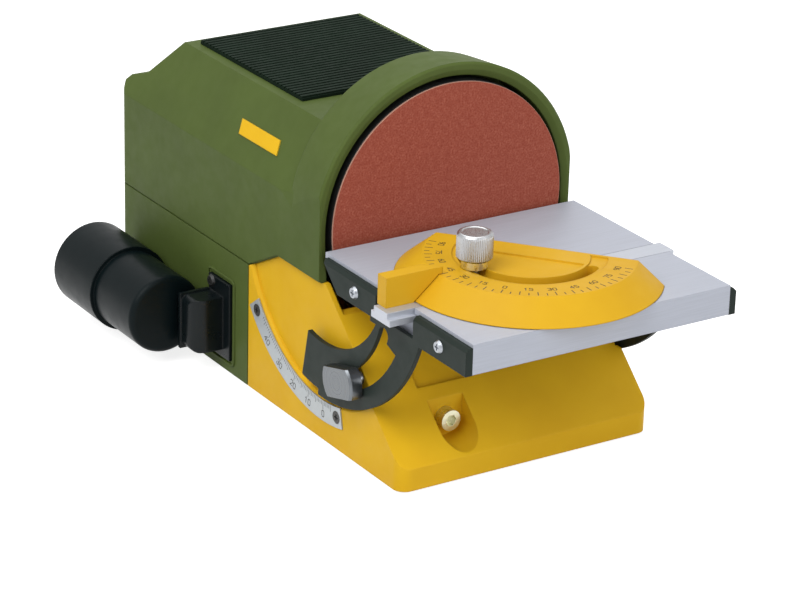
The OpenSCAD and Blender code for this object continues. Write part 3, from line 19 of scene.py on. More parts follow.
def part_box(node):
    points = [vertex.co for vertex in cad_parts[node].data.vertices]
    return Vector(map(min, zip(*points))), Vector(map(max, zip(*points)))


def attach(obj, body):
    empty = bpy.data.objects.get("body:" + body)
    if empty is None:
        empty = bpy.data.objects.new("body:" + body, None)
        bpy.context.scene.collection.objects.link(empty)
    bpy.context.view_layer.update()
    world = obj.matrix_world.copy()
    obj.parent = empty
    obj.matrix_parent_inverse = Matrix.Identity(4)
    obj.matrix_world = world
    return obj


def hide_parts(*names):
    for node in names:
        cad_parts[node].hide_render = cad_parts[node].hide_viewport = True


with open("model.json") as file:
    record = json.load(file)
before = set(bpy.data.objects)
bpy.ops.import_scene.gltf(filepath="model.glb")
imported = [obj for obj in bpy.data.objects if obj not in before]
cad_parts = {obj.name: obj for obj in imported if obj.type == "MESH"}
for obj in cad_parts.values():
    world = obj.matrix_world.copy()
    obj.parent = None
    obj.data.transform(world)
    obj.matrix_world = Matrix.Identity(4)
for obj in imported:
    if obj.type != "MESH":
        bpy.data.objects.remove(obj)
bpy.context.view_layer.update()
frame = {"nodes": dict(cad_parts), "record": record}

log = logging.getLogger("sander")
MM = 0.001


class Body(str, Enum):
    """Moving bodies that the look pieces ride on."""

    FRAME = "frame"
    HEAD = "gauge_head"
    KNOB = "gauge_knob"


def srgb(code: str) -> tuple[float, float, float, float]:
    """Turns an sRGB hex colour into linear RGBA.

    Args:
        code: six hex digits with or without a leading hash.

    Returns:
        Linear red, green, blue and full alpha.
    """
    code = code.lstrip("#")
    parts = [int(code[i:i + 2], 16) / 255 for i in (0, 2, 4)]
    line = [c / 12.92 if c <= 0.04045 else ((c + 0.055) / 1.055) ** 2.4 for c in parts]
    return (line[0], line[1], line[2], 1.0)


def add(tree: bpy.types.NodeTree, kind: str, inputs: dict[Any, Any] | None = None,
        **settings: Any) -> bpy.types.Node:
    """Adds one shader node, sets its options and fills or links its inputs.

    Args:
        tree: node tree that gets the node.
        kind: Blender's node type name.
        inputs: socket name or index to a constant or to another node's output socket.
        **settings: attributes set on the node itself.

    Returns:
        The new node.
    """
    node = tree.nodes.new(kind)
    for key, value in settings.items():
        setattr(node, key, value)
    for key, value in (inputs or {}).items():
        if isinstance(value, bpy.types.NodeSocket):
            tree.links.new(value, node.inputs[key])
        else:
            node.inputs[key].default_value = value
    return node


def noise(tree: bpy.types.NodeTree, size_mm: float, vector: Any = None,
          detail: float = 3.0) -> bpy.types.NodeSocket:
    """Adds a noise pattern whose cells are a given size on the real object.

    Args:
        tree: node tree that gets the pattern.
        size_mm: size of the pattern's cells in millimetres.
        vector: coordinates, or None for object coordinates.
        detail: number of finer layers.

    Returns:
        The pattern's grey value socket.
    """
    if vector is None:
        vector = add(tree, "ShaderNodeTexCoord").outputs["Object"]
    made = add(tree, "ShaderNodeTexNoise", {"Vector": vector, "Scale": 1 / (size_mm * MM), "Detail": detail})
    return made.outputs["Fac"]


def ramp(tree: bpy.types.NodeTree, value: Any, low: float, high: float) -> bpy.types.NodeSocket:
    """Maps a grey value of 0.3 to 0.7 onto a new range.

    Args:
        tree: node tree that gets the node.
        value: grey value socket.
        low: result at 0.3.
        high: result at 0.7.

    Returns:
        The mapped value socket.
    """
    made = add(tree, "ShaderNodeMapRange", {"Value": value, 1: 0.3, 2: 0.7, 3: low, 4: high})
    return made.outputs[0]


def mix(tree: bpy.types.NodeTree, factor: Any, a: Any, b: Any) -> bpy.types.NodeSocket:
    """Mixes two colours.

    Args:
        tree: node tree that gets the node.
        factor: share of the second colour.
        a: first colour.
        b: second colour.

    Returns:
        The mixed colour socket.
    """
    made = add(tree, "ShaderNodeMix", {0: factor, 6: a, 7: b}, data_type="RGBA")
    return made.outputs[2]


def seen(tree: bpy.types.NodeTree) -> bpy.types.NodeSocket:
    """Returns 1 for rays of the camera, of reflections and of glass, and 0 for rays that only carry light.

    Args:
        tree: node tree that gets the nodes.

    Returns:
        The test's socket.
    """
    path = add(tree, "ShaderNodeLightPath").outputs
    pair = {0: path["Is Camera Ray"], 1: path["Is Glossy Ray"]}
    both = add(tree, "ShaderNodeMath", pair, operation="MAXIMUM").outputs[0]
    rest = {0: both, 1: path["Is Transmission Ray"]}
    return add(tree, "ShaderNodeMath", rest, operation="MAXIMUM").outputs[0]


def axis_distance(tree: bpy.types.NodeTree, middle_mm: Sequence[float],
                  across: Sequence[float]) -> bpy.types.NodeSocket:
    """Measures how far each point of the surface lies from an axis.

    Args:
        tree: node tree that gets the nodes.
        middle_mm: a point of the axis, in millimetres.
        across: 0 for the direction of the axis and 1 for the other two.

    Returns:
        The distance's socket, in metres.
    """
    place = add(tree, "ShaderNodeTexCoord").outputs["Object"]
    spot = tuple(value * MM for value in middle_mm)
    off = add(tree, "ShaderNodeVectorMath", {0: place, 1: spot}, operation="SUBTRACT").outputs[0]
    flat = add(tree, "ShaderNodeVectorMath", {0: off, 1: tuple(across)}, operation="MULTIPLY").outputs[0]
    return add(tree, "ShaderNodeVectorMath", {0: flat}, operation="LENGTH").outputs["Value"]


@dataclass(frozen=True)
class Finish:
    """Common part of every finish.

    Args:
        name: name of the real material.
        colour: sRGB hex colour.
        rough: roughness of the surface.
        metal: 1 for bare metal.
        edge_mm: radius by which shading rounds the edges.
        gloss: strength of the mirror-like reflection, 0.5 for common plastics.
    """

    name: str
    colour: str
    rough: float = 0.5
    metal: float = 0.0
    edge_mm: float = 0.6
    gloss: float = 0.5

    def colour_socket(self, tree: bpy.types.NodeTree) -> Any:
        """Returns the base colour, or the socket of its pattern."""
        return srgb(self.colour)

    def rough_socket(self, tree: bpy.types.NodeTree) -> Any:
        """Returns the roughness, or the socket of its pattern."""
        return self.rough

    def height(self, tree: bpy.types.NodeTree) -> tuple[Any, float] | None:
        """Returns the relief's socket and depth in metres, or None for a smooth face."""
        return None

    def build(self) -> bpy.types.Material:
        """Makes the Blender material.

        Returns:
            The material.
        """
        made = bpy.data.materials.new(self.name)
        made.use_nodes = True
        tree = made.node_tree
        tree.nodes.clear()
        normal = add(tree, "ShaderNodeBevel", {"Radius": self.edge_mm * MM}, samples=4).outputs[0]
        relief = self.height(tree)
        if relief:
            bump = {"Height": relief[0], "Distance": relief[1], "Strength": 1.0, "Normal": normal}
            normal = add(tree, "ShaderNodeBump", bump).outputs[0]
        shader = add(tree, "ShaderNodeBsdfPrincipled", {
            "Base Color": self.colour_socket(tree), "Roughness": self.rough_socket(tree),
            "Metallic": self.metal, "Specular IOR Level": self.gloss, "Normal": normal})
        add(tree, "ShaderNodeOutputMaterial", {"Surface": shader.outputs[0]})
        log.info("finish %s", self.name)
        return made


@dataclass(frozen=True)
class Moulded(Finish):
    """Moulded plastic, paint or rubber: a faint cloud of shade over a fine grain.

    Args:
        shade: second colour of the faint cloud.
        grain_mm: size of the fine grain.
        depth_mm: depth of the fine grain.
    """

    shade: str = "000000"
    grain_mm: float = 0.5
    depth_mm: float = 0.01

    def colour_socket(self, tree: bpy.types.NodeTree) -> Any:
        """Returns the clouded colour."""
        return mix(tree, ramp(tree, noise(tree, 24.0), 0.0, 1.0), srgb(self.colour), srgb(self.shade))

    def rough_socket(self, tree: bpy.types.NodeTree) -> Any:
        """Returns the roughness with a little spread."""
        return ramp(tree, noise(tree, 6.0), self.rough - 0.05, self.rough + 0.05)

    def height(self, tree: bpy.types.NodeTree) -> tuple[Any, float] | None:
        """Returns the fine grain."""
        return noise(tree, self.grain_mm, detail=1.0), self.depth_mm * MM


@dataclass(frozen=True)
class Ground(Finish):
    """Ground or drawn metal with streaks along one axis.

    Args:
        stretch: how much longer a streak is than it is wide, along X, Y and Z.
        streak_mm: width of a streak.
        dim: brightness of the darker streaks.
    """

    stretch: tuple[float, float, float] = (40.0, 1.0, 1.0)
    streak_mm: float = 0.4
    dim: float = 0.9

    def streaks(self, tree: bpy.types.NodeTree) -> bpy.types.NodeSocket:
        """Returns the streak pattern."""
        place = add(tree, "ShaderNodeTexCoord").outputs["Object"]
        scale = tuple(1 / s for s in self.stretch)
        squeezed = add(tree, "ShaderNodeMapping", {"Vector": place, "Scale": scale}).outputs[0]
        return noise(tree, self.streak_mm, squeezed)

    def colour_socket(self, tree: bpy.types.NodeTree) -> Any:
        """Returns the streaked colour."""
        base = srgb(self.colour)
        dark = tuple(c * self.dim for c in base[:3]) + (1.0,)
        return mix(tree, ramp(tree, self.streaks(tree), 0.0, 1.0), dark, base)

    def rough_socket(self, tree: bpy.types.NodeTree) -> Any:
        """Returns the streaked roughness."""
        return ramp(tree, self.streaks(tree), self.rough - 0.06, self.rough + 0.06)


@dataclass(frozen=True)
class Turned(Ground):
    """Turned metal with fine rings round an axis along X.

    Args:
        centre: place of the axis in the YZ plane, in millimetres.
    """

    centre: tuple[float, float] = (0.0, 0.0)

    def streaks(self, tree: bpy.types.NodeTree) -> bpy.types.NodeSocket:
        """Returns the ring pattern."""
        radius = axis_distance(tree, (0.0, *self.centre), (0.0, 1.0, 1.0))
        ring = add(tree, "ShaderNodeCombineXYZ", {0: radius}).outputs[0]
        return noise(tree, self.streak_mm, ring)


@dataclass(frozen=True)
class Grit(Finish):
    """Coated abrasive: dark and light grains in a resin, with the bare paper at the cut edge.

    Args:
        light: colour of the lighter grains.
        paper: colour of the cut paper edge.
        grain_mm: size of the grains.
        blotch_mm: size of the darker blotches.
        middle_mm: height of the disc's middle.
        edge_r_mm: radius where the bare edge starts.
    """

    light: str = "FFFFFF"
    paper: str = "FFFFFF"
    grain_mm: float = 0.9
    blotch_mm: float = 3.0
    middle_mm: float = 99.0
    edge_r_mm: float = 62.15

    def colour_socket(self, tree: bpy.types.NodeTree) -> Any:
        """Returns the speckled colour over a faint cloud."""
        grains = ramp(tree, noise(tree, self.grain_mm, detail=2.0), 0.0, 1.0)
        speck = mix(tree, grains, srgb(self.colour), srgb(self.light))
        cloud = mix(tree, ramp(tree, noise(tree, self.blotch_mm), 0.0, 0.6), speck, srgb(self.colour))
        test = {0: axis_distance(tree, (0.0, 0.0, self.middle_mm), (1.0, 0.0, 1.0)), 1: self.edge_r_mm * MM}
        rim = add(tree, "ShaderNodeMath", test, operation="GREATER_THAN").outputs[0]
        return mix(tree, rim, cloud, srgb(self.paper))

    def height(self, tree: bpy.types.NodeTree) -> tuple[Any, float] | None:
        """Returns the grains' relief."""
        return noise(tree, self.grain_mm, detail=1.0), 0.06 * MM


# one finish for each material slot of the record
FINISHES: dict[str, Finish] = {
    # glass-filled polyamide, yellow
    "yellow_shell": Moulded("yellow polyamide", "E4B51C", 0.5, edge_mm=1.0, gloss=0.17, shade="DEAD1A"),
    # glass-filled polyamide, olive green
    "green_shell": Moulded("green polyamide", "505F2D", 0.55, edge_mm=1.0, gloss=0.12, shade="4C5A2B"),
    # zinc plated steel
    "zinc_steel": Ground("zinc plated steel", "A4A8AE", 0.34, 1.0, edge_mm=0.2,
                         stretch=(1.0, 1.0, 1.0), streak_mm=1.5),
    # steel with a yellow passivated zinc coat
    "plated_steel": Ground("yellow zinc plated steel", "DEDCC0", 0.3, 1.0, edge_mm=0.3,
                           stretch=(1.0, 1.0, 1.0), streak_mm=2.5),
    # soft rubber of the feet
    "foot_rubber": Moulded("rubber feet", "1C1C1C", 0.8, shade="202020"),
    # ribbed rubber mat
    "mat_rubber": Moulded("rubber mat", "16241A", 0.7, edge_mm=0.25, gloss=0.08, shade="131F16"),
    # black polyamide; the blue-green tint of its base colour stands in for a tinted reflection, a painted
    # sheen
    "black_plastic": Moulded("black polyamide", "0A1416", 0.35, edge_mm=1.2, gloss=0.09, shade="081113"),
    # blackened steel
    "black_steel": Moulded("blackened steel", "262624", 0.45, edge_mm=0.2, shade="1A1A1A"),
    # anodised aluminium strip
    "scale_aluminium": Ground("aluminium scale", "AEB4B8", 0.42, 0.6, edge_mm=0.1, stretch=(1.0, 6.0, 6.0)),
    # cast aluminium
    "cast_aluminium": Moulded("cast aluminium", "B4B4B6", 0.5, 0.9, shade="A8A8AC"),
    # bearing steel
    "bearing_steel": Ground("bearing steel", "C4C6C8", 0.25, 1.0, edge_mm=0.2, stretch=(1.0, 8.0, 1.0)),
    # black painted disc plate
    "disc_black": Moulded("black painted aluminium", "1B1C1C", 0.4, shade="161616"),
    # resin bonded grit on paper
    "abrasive_paper": Grit("abrasive paper", "8E4335", 0.85, edge_mm=0.1, gloss=0.1,
                           light="AE6452", paper="B98C7B"),
    # black painted motor can
    "motor_black": Moulded("black painted steel", "2A2B2D", 0.4, shade="232426"),
    # copper windings
    "rotor_copper": Ground("copper windings", "B87048", 0.4, 1.0, stretch=(1.0, 20.0, 1.0)),
    # belt rubber
    "belt_rubber": Moulded("belt rubber", "1A1A1A", 0.75, shade="202020"),
    # circuit board laminate
    "board_laminate": Moulded("board laminate", "2F6B3C", 0.45, edge_mm=0.1, shade="295E35"),
    # glossy switch plastic
    "switch_plastic": Moulded("switch plastic", "1C1C1E", 0.3, shade="18181A"),
    # glossy rocker plastic
    "rocker_plastic": Moulded("rocker plastic", "202022", 0.25, shade="1B1B1D"),
    # satin dial plastic
    "dial_plastic": Moulded("dial plastic", "1E1F20", 0.45, shade="191A1B"),
    # ground aluminium casting of the table
    "table_aluminium": Ground("ground aluminium", "B4B8C3", 0.5, 0.15, edge_mm=0.4, gloss=0.25,
                              stretch=(40.0, 1.0, 1.0), streak_mm=0.5),
    # dark grey satin paint
    "quadrant_paint": Moulded("dark grey paint", "272F2B", 0.45, gloss=0.1, shade="232B27"),
    # turned aluminium knobs; the dark base colour, well below that of bare aluminium, dims the lamps'
    # reflection on the clamp knob's face: painted shade
    "turned_aluminium": Turned("turned aluminium", "787C80", 0.3, 1.0, edge_mm=0.3, streak_mm=0.5, dim=0.65,
                               centre=(-32.26, 42.14)),
    # drawn aluminium bar
    "bar_aluminium": Ground("drawn aluminium", "BFC3CC", 0.42, 0.5, edge_mm=0.3),
    # yellow painted casting
    "gauge_yellow": Moulded("yellow paint", "D5A61F", 0.45, gloss=0.16, shade="D0A01D"),
}


class Marks(Enum):
    """Stroke letters: each digit is a list of lines in a cell of width 1 and height 1.6."""

    D0 = ((0.2, 0, 0.8, 0), (0.8, 0, 1, 0.3), (1, 0.3, 1, 1.3), (1, 1.3, 0.8, 1.6), (0.8, 1.6, 0.2, 1.6),
          (0.2, 1.6, 0, 1.3), (0, 1.3, 0, 0.3), (0, 0.3, 0.2, 0))
    D1 = ((0.5, 0, 0.5, 1.6), (0.5, 1.6, 0.2, 1.25))
    D2 = ((1, 0, 0, 0), (0, 0, 1, 1), (1, 1, 1, 1.35), (1, 1.35, 0.75, 1.6), (0.75, 1.6, 0.25, 1.6),
          (0.25, 1.6, 0, 1.3))
    D3 = ((0, 0.25, 0.25, 0), (0.25, 0, 0.75, 0), (0.75, 0, 1, 0.3), (1, 0.3, 1, 0.6), (1, 0.6, 0.7, 0.85),
          (0.7, 0.85, 0.4, 0.85), (0.7, 0.85, 1, 1.1), (1, 1.1, 1, 1.35), (1, 1.35, 0.75, 1.6),
          (0.75, 1.6, 0.1, 1.6))
    D4 = ((0.75, 0, 0.75, 1.6), (0.75, 1.6, 0, 0.5), (0, 0.5, 1, 0.5))
    D5 = ((0, 0.2, 0.25, 0), (0.25, 0, 0.75, 0), (0.75, 0, 1, 0.3), (1, 0.3, 1, 0.7), (1, 0.7, 0.75, 0.95),
          (0.75, 0.95, 0.05, 0.95), (0.05, 0.95, 0.05, 1.6), (0.05, 1.6, 0.9, 1.6))
    D6 = ((0.25, 0, 0.75, 0), (0.75, 0, 1, 0.3), (1, 0.3, 1, 0.65), (1, 0.65, 0.75, 0.9),
          (0.75, 0.9, 0.25, 0.9),
          (0.25, 0.9, 0, 0.65), (0.25, 0, 0, 0.3), (0, 0.3, 0, 1.1), (0, 1.1, 0.6, 1.6))
    D7 = ((0, 1.6, 1, 1.6), (1, 1.6, 0.4, 0))
    D8 = ((0.25, 0, 0.75, 0), (0.75, 0, 1, 0.3), (1, 0.3, 1, 0.6), (1, 0.6, 0.75, 0.85),
          (0.75, 0.85, 0.25, 0.85),
          (0.25, 0.85, 0, 0.6), (0, 0.6, 0, 0.3), (0, 0.3, 0.25, 0), (0.25, 0.85, 0, 1.1), (0, 1.1, 0, 1.35),
          (0, 1.35, 0.25, 1.6), (0.25, 1.6, 0.75, 1.6), (0.75, 1.6, 1, 1.35), (1, 1.35, 1, 1.1),
          (1, 1.1, 0.75, 0.85))
    D9 = ((0.4, 0, 1, 0.5), (1, 0.5, 1, 1.3), (1, 1.3, 0.75, 1.6), (0.75, 1.6, 0.25, 1.6),
          (0.25, 1.6, 0, 1.3), (0, 1.3, 0, 1), (0, 1, 0.25, 0.75), (0.25, 0.75, 1, 0.75))


def digit_lines(text: str) -> np.ndarray:
    """Returns the lines of a number, centred on the origin, in cell units.

    Args:
        text: digits to write.

    Returns:
        Array of lines as x0, y0, x1, y1.
    """
    step = 1.45
    start = -(len(text) - 1) * step / 2 - 0.5
    cells = [np.array(Marks["D" + digit].value, float) for digit in text]
    return np.concatenate([cell + (start + i * step, -0.8) * 2 for i, cell in enumerate(cells)])


def make_mesh(name: str, points: np.ndarray, faces: np.ndarray | list[list[int]],
              finish: bpy.types.Material) -> bpy.types.Object:
    """Makes a flat-shaded object from arrays of points and faces.

    Args:
        name: object name.
        points: points in metres.
        faces: point numbers of each face, seen from outside.
        finish: the object's material.

    Returns:
        The linked object.
    """
    mesh = bpy.data.meshes.new(name)
    mesh.from_pydata(points.tolist(), [], faces.tolist() if isinstance(faces, np.ndarray) else faces)
    mesh.update()
    mesh.polygons.foreach_set("use_smooth", np.zeros(len(mesh.polygons), dtype=bool))
    mesh.materials.append(finish)
    made = bpy.data.objects.new(name, mesh)
    bpy.context.scene.collection.objects.link(made)
    log.info("piece %s: %d faces", name, len(mesh.polygons))
    return made


def bars(lines: np.ndarray, width: float, thick: float) -> tuple[np.ndarray, np.ndarray]:
    """Turns lines in a plane into flat closed bars.

    Args:
        lines: x0, y0, x1, y1 of each line.
        width: width of a bar.
        thick: thickness of a bar above the plane.

    Returns:
        Points as x, y, height, and the bars' faces.
    """
    a, b = lines[:, :2], lines[:, 2:]
    along = (b - a) / np.linalg.norm(b - a, axis=1, keepdims=True) * width / 2
    side = np.stack([-along[:, 1], along[:, 0]], axis=1)
    foot = np.stack([a - along - side, b + along - side, b + along + side, a - along + side], axis=1)
    low = np.concatenate([foot, np.zeros(foot.shape[:2] + (1,))], axis=2)
    high = np.concatenate([foot, np.full(foot.shape[:2] + (1,), thick)], axis=2)
    points = np.concatenate([low, high], axis=1).reshape(-1, 3)
    one = np.array([[3, 2, 1, 0], [4, 5, 6, 7], [0, 1, 5, 4], [1, 2, 6, 5], [2, 3, 7, 6], [3, 0, 4, 7]])
    faces = (one[None] + np.arange(len(lines))[:, None, None] * 8).reshape(-1, 4)
    return points, faces


def ring_lines(ticks: np.ndarray, r0: np.ndarray, r1: float) -> np.ndarray:
    """Returns radial lines round the origin.

    Args:
        ticks: angles in degrees.
        r0: start radius of each line.
        r1: end radius.

    Returns:
        Array of lines as x0, y0, x1, y1.
    """
    t = np.radians(ticks)
    way = np.stack([np.cos(t), np.sin(t)], axis=1)
    return np.concatenate([way * r0[:, None], way * r1], axis=1)


def turned(points: np.ndarray, angle: float) -> np.ndarray:
    """Turns points of a plane about the origin.

    Args:
        points: x and y of each point.
        angle: turn in degrees.

    Returns:
        The turned points.
    """
    a = math.radians(angle)
    return points @ np.array([[math.cos(a), math.sin(a)], [-math.sin(a), math.cos(a)]])


def labels(numbers: Sequence[int], angles: Sequence[float], radius: float, height: float) -> np.ndarray:
    """Returns the lines of numbers set round the origin, with their tops to the origin.

    Args:
        numbers: values to write.
        angles: place of each number, in degrees.
        radius: distance of the numbers from the origin.
        height: height of a digit.

    Returns:
        Array of lines as x0, y0, x1, y1.
    """
    rows = []
    for number, angle in zip(numbers, angles):
        line = digit_lines(str(number)).reshape(-1, 2) * height / 1.6
        rows.append(turned(line - (0.0, radius), angle + 90.0).reshape(-1, 4))
    return np.concatenate(rows)


def joined(parts: Sequence[tuple[np.ndarray, np.ndarray]]) -> tuple[np.ndarray, np.ndarray]:
    """Joins the points and faces of two groups of bars.

    Args:
        parts: points and faces of both groups.

    Returns:
        All points and all faces.
    """
    (points, faces), (more_points, more_faces) = parts
    return np.concatenate([points, more_points]), np.concatenate([faces, more_faces + len(points)])


@dataclass(frozen=True)
class Ink(Finish):
    """Printed or sunk black ink."""

    def rough_socket(self, tree: bpy.types.NodeTree) -> Any:
        """Returns the roughness with a little spread."""
        return ramp(tree, noise(tree, 2.0), self.rough - 0.1, self.rough + 0.1)

    def colour_socket(self, tree: bpy.types.NodeTree) -> Any:
        """Returns the ink's colour with faint wear."""
        base = srgb(self.colour)
        worn = tuple(c * 1.8 for c in base[:3]) + (1.0,)
        return mix(tree, ramp(tree, noise(tree, 1.0), 0.0, 1.0), base, worn)


@dataclass
class ProtractorScale:
    """Ticks and numbers on the protractor's top.

    Args:
        pivot: pivot in the XY plane, in millimetres.
        turn: turn of the protractor at rest, in degrees.
        top_mm: height of the printed face.
        tick_out: outer end of the ticks.
        tick_len: length of long and short ticks.
        label_r: distance of the numbers from the pivot.
        digit_mm: height of a digit.
        label_squeeze: draws the end numbers in from the straight edge.
        ink: the ink's material.
    """

    ink: bpy.types.Material
    pivot: tuple[float, float] = (-4.5, -72.4)
    turn: float = -50.0
    top_mm: float = 103.8
    tick_out: float = 46.6
    tick_len: tuple[float, float] = (3.2, 2.0)
    label_r: float = 40.2
    digit_mm: float = 2.5
    label_squeeze: float = 0.975

    def build(self) -> bpy.types.Object:
        """Makes the printed scale.

        Returns:
            The scale's object.
        """
        steps = np.arange(-90, 91, 5)
        long = steps % 10 == 0
        start = self.tick_out - np.where(long, self.tick_len[0], self.tick_len[1])
        lines = ring_lines(steps - 90.0, start, self.tick_out)
        keys = list(range(-90, 91, 15))
        angles = [k * self.label_squeeze - 90.0 for k in keys]
        text = labels([abs(k) for k in keys], angles, self.label_r, self.digit_mm)
        points, faces = joined([bars(lines, 0.42, 0.03), bars(text, 0.36, 0.03)])
        place = np.column_stack([turned(points[:, :2], self.turn) + self.pivot, points[:, 2] + self.top_mm])
        made = make_mesh("protractor_scale", place * MM, faces, self.ink)
        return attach(made, Body.HEAD.value)


@dataclass
class TiltScale:
    """Ticks and numbers on the tilt scale at the left cheek.

    Args:
        axis: tilt axis in the YZ plane, in millimetres.
        face_mm: outer face of the scale strip.
        zero: angle of the zero tick.
        tick_in: inner end of the ticks.
        label_r: distance of the numbers from the axis.
        digit_mm: height of a digit.
        ink: the ink's material.
    """

    ink: bpy.types.Material
    axis: tuple[float, float] = (-3.9, 93.3)
    face_mm: float = -69.2
    zero: float = -91.3
    tick_in: float = 72.9
    label_r: float = 78.9
    digit_mm: float = 3.0

    def build(self) -> bpy.types.Object:
        """Makes the printed scale.

        Returns:
            The scale's object.
        """
        steps = np.arange(-5, 48, 1)
        size = np.where(steps % 10 == 0, 3.6, np.where(steps % 5 == 0, 2.8, 1.6))
        lines = ring_lines(self.zero + steps, self.tick_in + size, self.tick_in)
        keys = list(range(0, 41, 10))
        text = labels(keys, [self.zero + k for k in keys], self.label_r, self.digit_mm)
        # seen from the left, Y runs to the left, so the numbers are mirrored along the tangent
        points, faces = joined([bars(lines, 0.26, 0.03), bars(self.mirrored(text, keys), 0.36, 0.03)])
        place = np.column_stack([self.face_mm - points[:, 2], points[:, :2] + self.axis])
        made = make_mesh("tilt_marks", place * MM, faces[:, ::-1], self.ink)
        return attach(made, Body.FRAME.value)

    def mirrored(self, text: np.ndarray, keys: Sequence[int]) -> np.ndarray:
        """Mirrors each number about its own radius, because the scale is seen against X.

        Args:
            text: lines of all numbers.
            keys: the numbers in order.

        Returns:
            The mirrored lines.
        """
        count = [len(digit_lines(str(k))) for k in keys]
        angle = np.radians(np.repeat([self.zero + k for k in keys], count))
        way = np.stack([np.cos(angle), np.sin(angle)], axis=1)
        ends = text.reshape(-1, 2, 2)
        along = np.einsum("lpk,lk->lp", ends, way)[..., None] * way[:, None, :]
        return (2 * along - ends).reshape(-1, 4)


@dataclass
class KnurledKnob:
    """Straight-knurled knob that stands for the plain CAD knob of the gauge.

    Args:
        finish: the knob's material.
        flutes: number of ridges.
        depth_mm: depth of the grooves.
        bevel_mm: edge bevel.
    """

    finish: bpy.types.Material
    flutes: int = 56
    depth_mm: float = 0.3
    bevel_mm: float = 0.9

    def build(self) -> bpy.types.Object:
        """Makes the knob as a closed surface of rings.

        Returns:
            The knob's object.
        """
        low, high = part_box("mitre_knob")
        centre = np.array([(low.x + high.x) / 2, (low.y + high.y) / 2])
        radius = (high.x - low.x) / 2
        b, g = self.bevel_mm * MM, self.depth_mm * MM
        # radius, height and groove share of each ring from the underside to the dished top
        rings = np.array([
            [radius * 0.3, low.z, 0], [radius - b, low.z, 0], [radius, low.z + b, 1],
            [radius, high.z - 2 * b, 1], [radius - 0.3 * b, high.z - b, 0], [radius - b, high.z - 0.2 * b, 0],
            [radius - 1.6 * b, high.z, 0], [radius - 2.4 * b, high.z, 0],
            [radius - 3.0 * b, high.z - 0.3 * b, 0], [radius * 0.2, high.z - 0.3 * b, 0]])
        count = self.flutes * 6
        t = np.linspace(0, 2 * math.pi, count, endpoint=False)
        wave = 0.5 - 0.5 * np.cos(t * self.flutes)
        r = rings[:, :1] - rings[:, 2:] * g * wave[None]
        height = np.repeat(rings[:, 1:2], count, axis=1)
        x, y = centre[0] + r * np.cos(t), centre[1] + r * np.sin(t)
        points = np.stack([x, y, height], axis=2).reshape(-1, 3)
        i = np.arange(count)
        j = (i + 1) % count
        rows = np.arange(len(rings) - 1)[:, None] * count
        quads = np.stack([rows + i, rows + j, rows + count + j, rows + count + i], axis=2).reshape(-1, 4)
        caps = [i[::-1].tolist(), ((len(rings) - 1) * count + i).tolist()]
        made = make_mesh("knurled_knob", points, quads.tolist() + caps, self.finish)
        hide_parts("mitre_knob")
        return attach(made, Body.KNOB.value)


@dataclass
class SidePlate:
    """Plain plate on the left leaning wall.

    Args:
        finish: the plate's material.
        knee: the wall's blunt knee in the XZ plane, in millimetres.
        lean: lean of the wall about the knee, in degrees.
        middle: place of the plate along Y.
        size: length and height of the plate.
        slant: how far its lower edge is set to the front.
        thick: thickness over the wall.
        sunk: depth of its back in the wall.
    """

    finish: bpy.types.Material
    knee: tuple[float, float] = (-60.9, 124.0)
    lean: float = 29.8
    middle: float = 68.0
    size: tuple[float, float] = (34.8, 7.2)
    slant: float = 2.6
    thick: float = 0.5
    sunk: float = 0.12

    def build(self) -> bpy.types.Object:
        """Makes the plate.

        Returns:
            The plate's object.
        """
        half, tall = self.size[0] / 2, self.size[1] / 2
        a = math.radians(self.lean)
        rise = np.array([math.sin(a), 0.0, math.cos(a)])
        out = np.array([-math.cos(a), 0.0, math.sin(a)])
        flat = np.array([[-half - self.slant / 2, -tall], [half - self.slant / 2, -tall],
                         [half + self.slant / 2, tall], [-half + self.slant / 2, tall]])
        middle = np.array([self.knee[0], self.middle, self.knee[1]])
        face = middle + flat[:, :1] * np.array([0.0, 1.0, 0.0]) + flat[:, 1:] * rise
        points = np.concatenate([face - self.sunk * out, face + self.thick * out])
        faces = [[0, 1, 2, 3], [7, 6, 5, 4], [4, 5, 1, 0], [5, 6, 2, 1], [6, 7, 3, 2], [7, 4, 0, 3]]
        made = make_mesh("side_plate", points * MM, faces, self.finish)
        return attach(made, Body.FRAME.value)


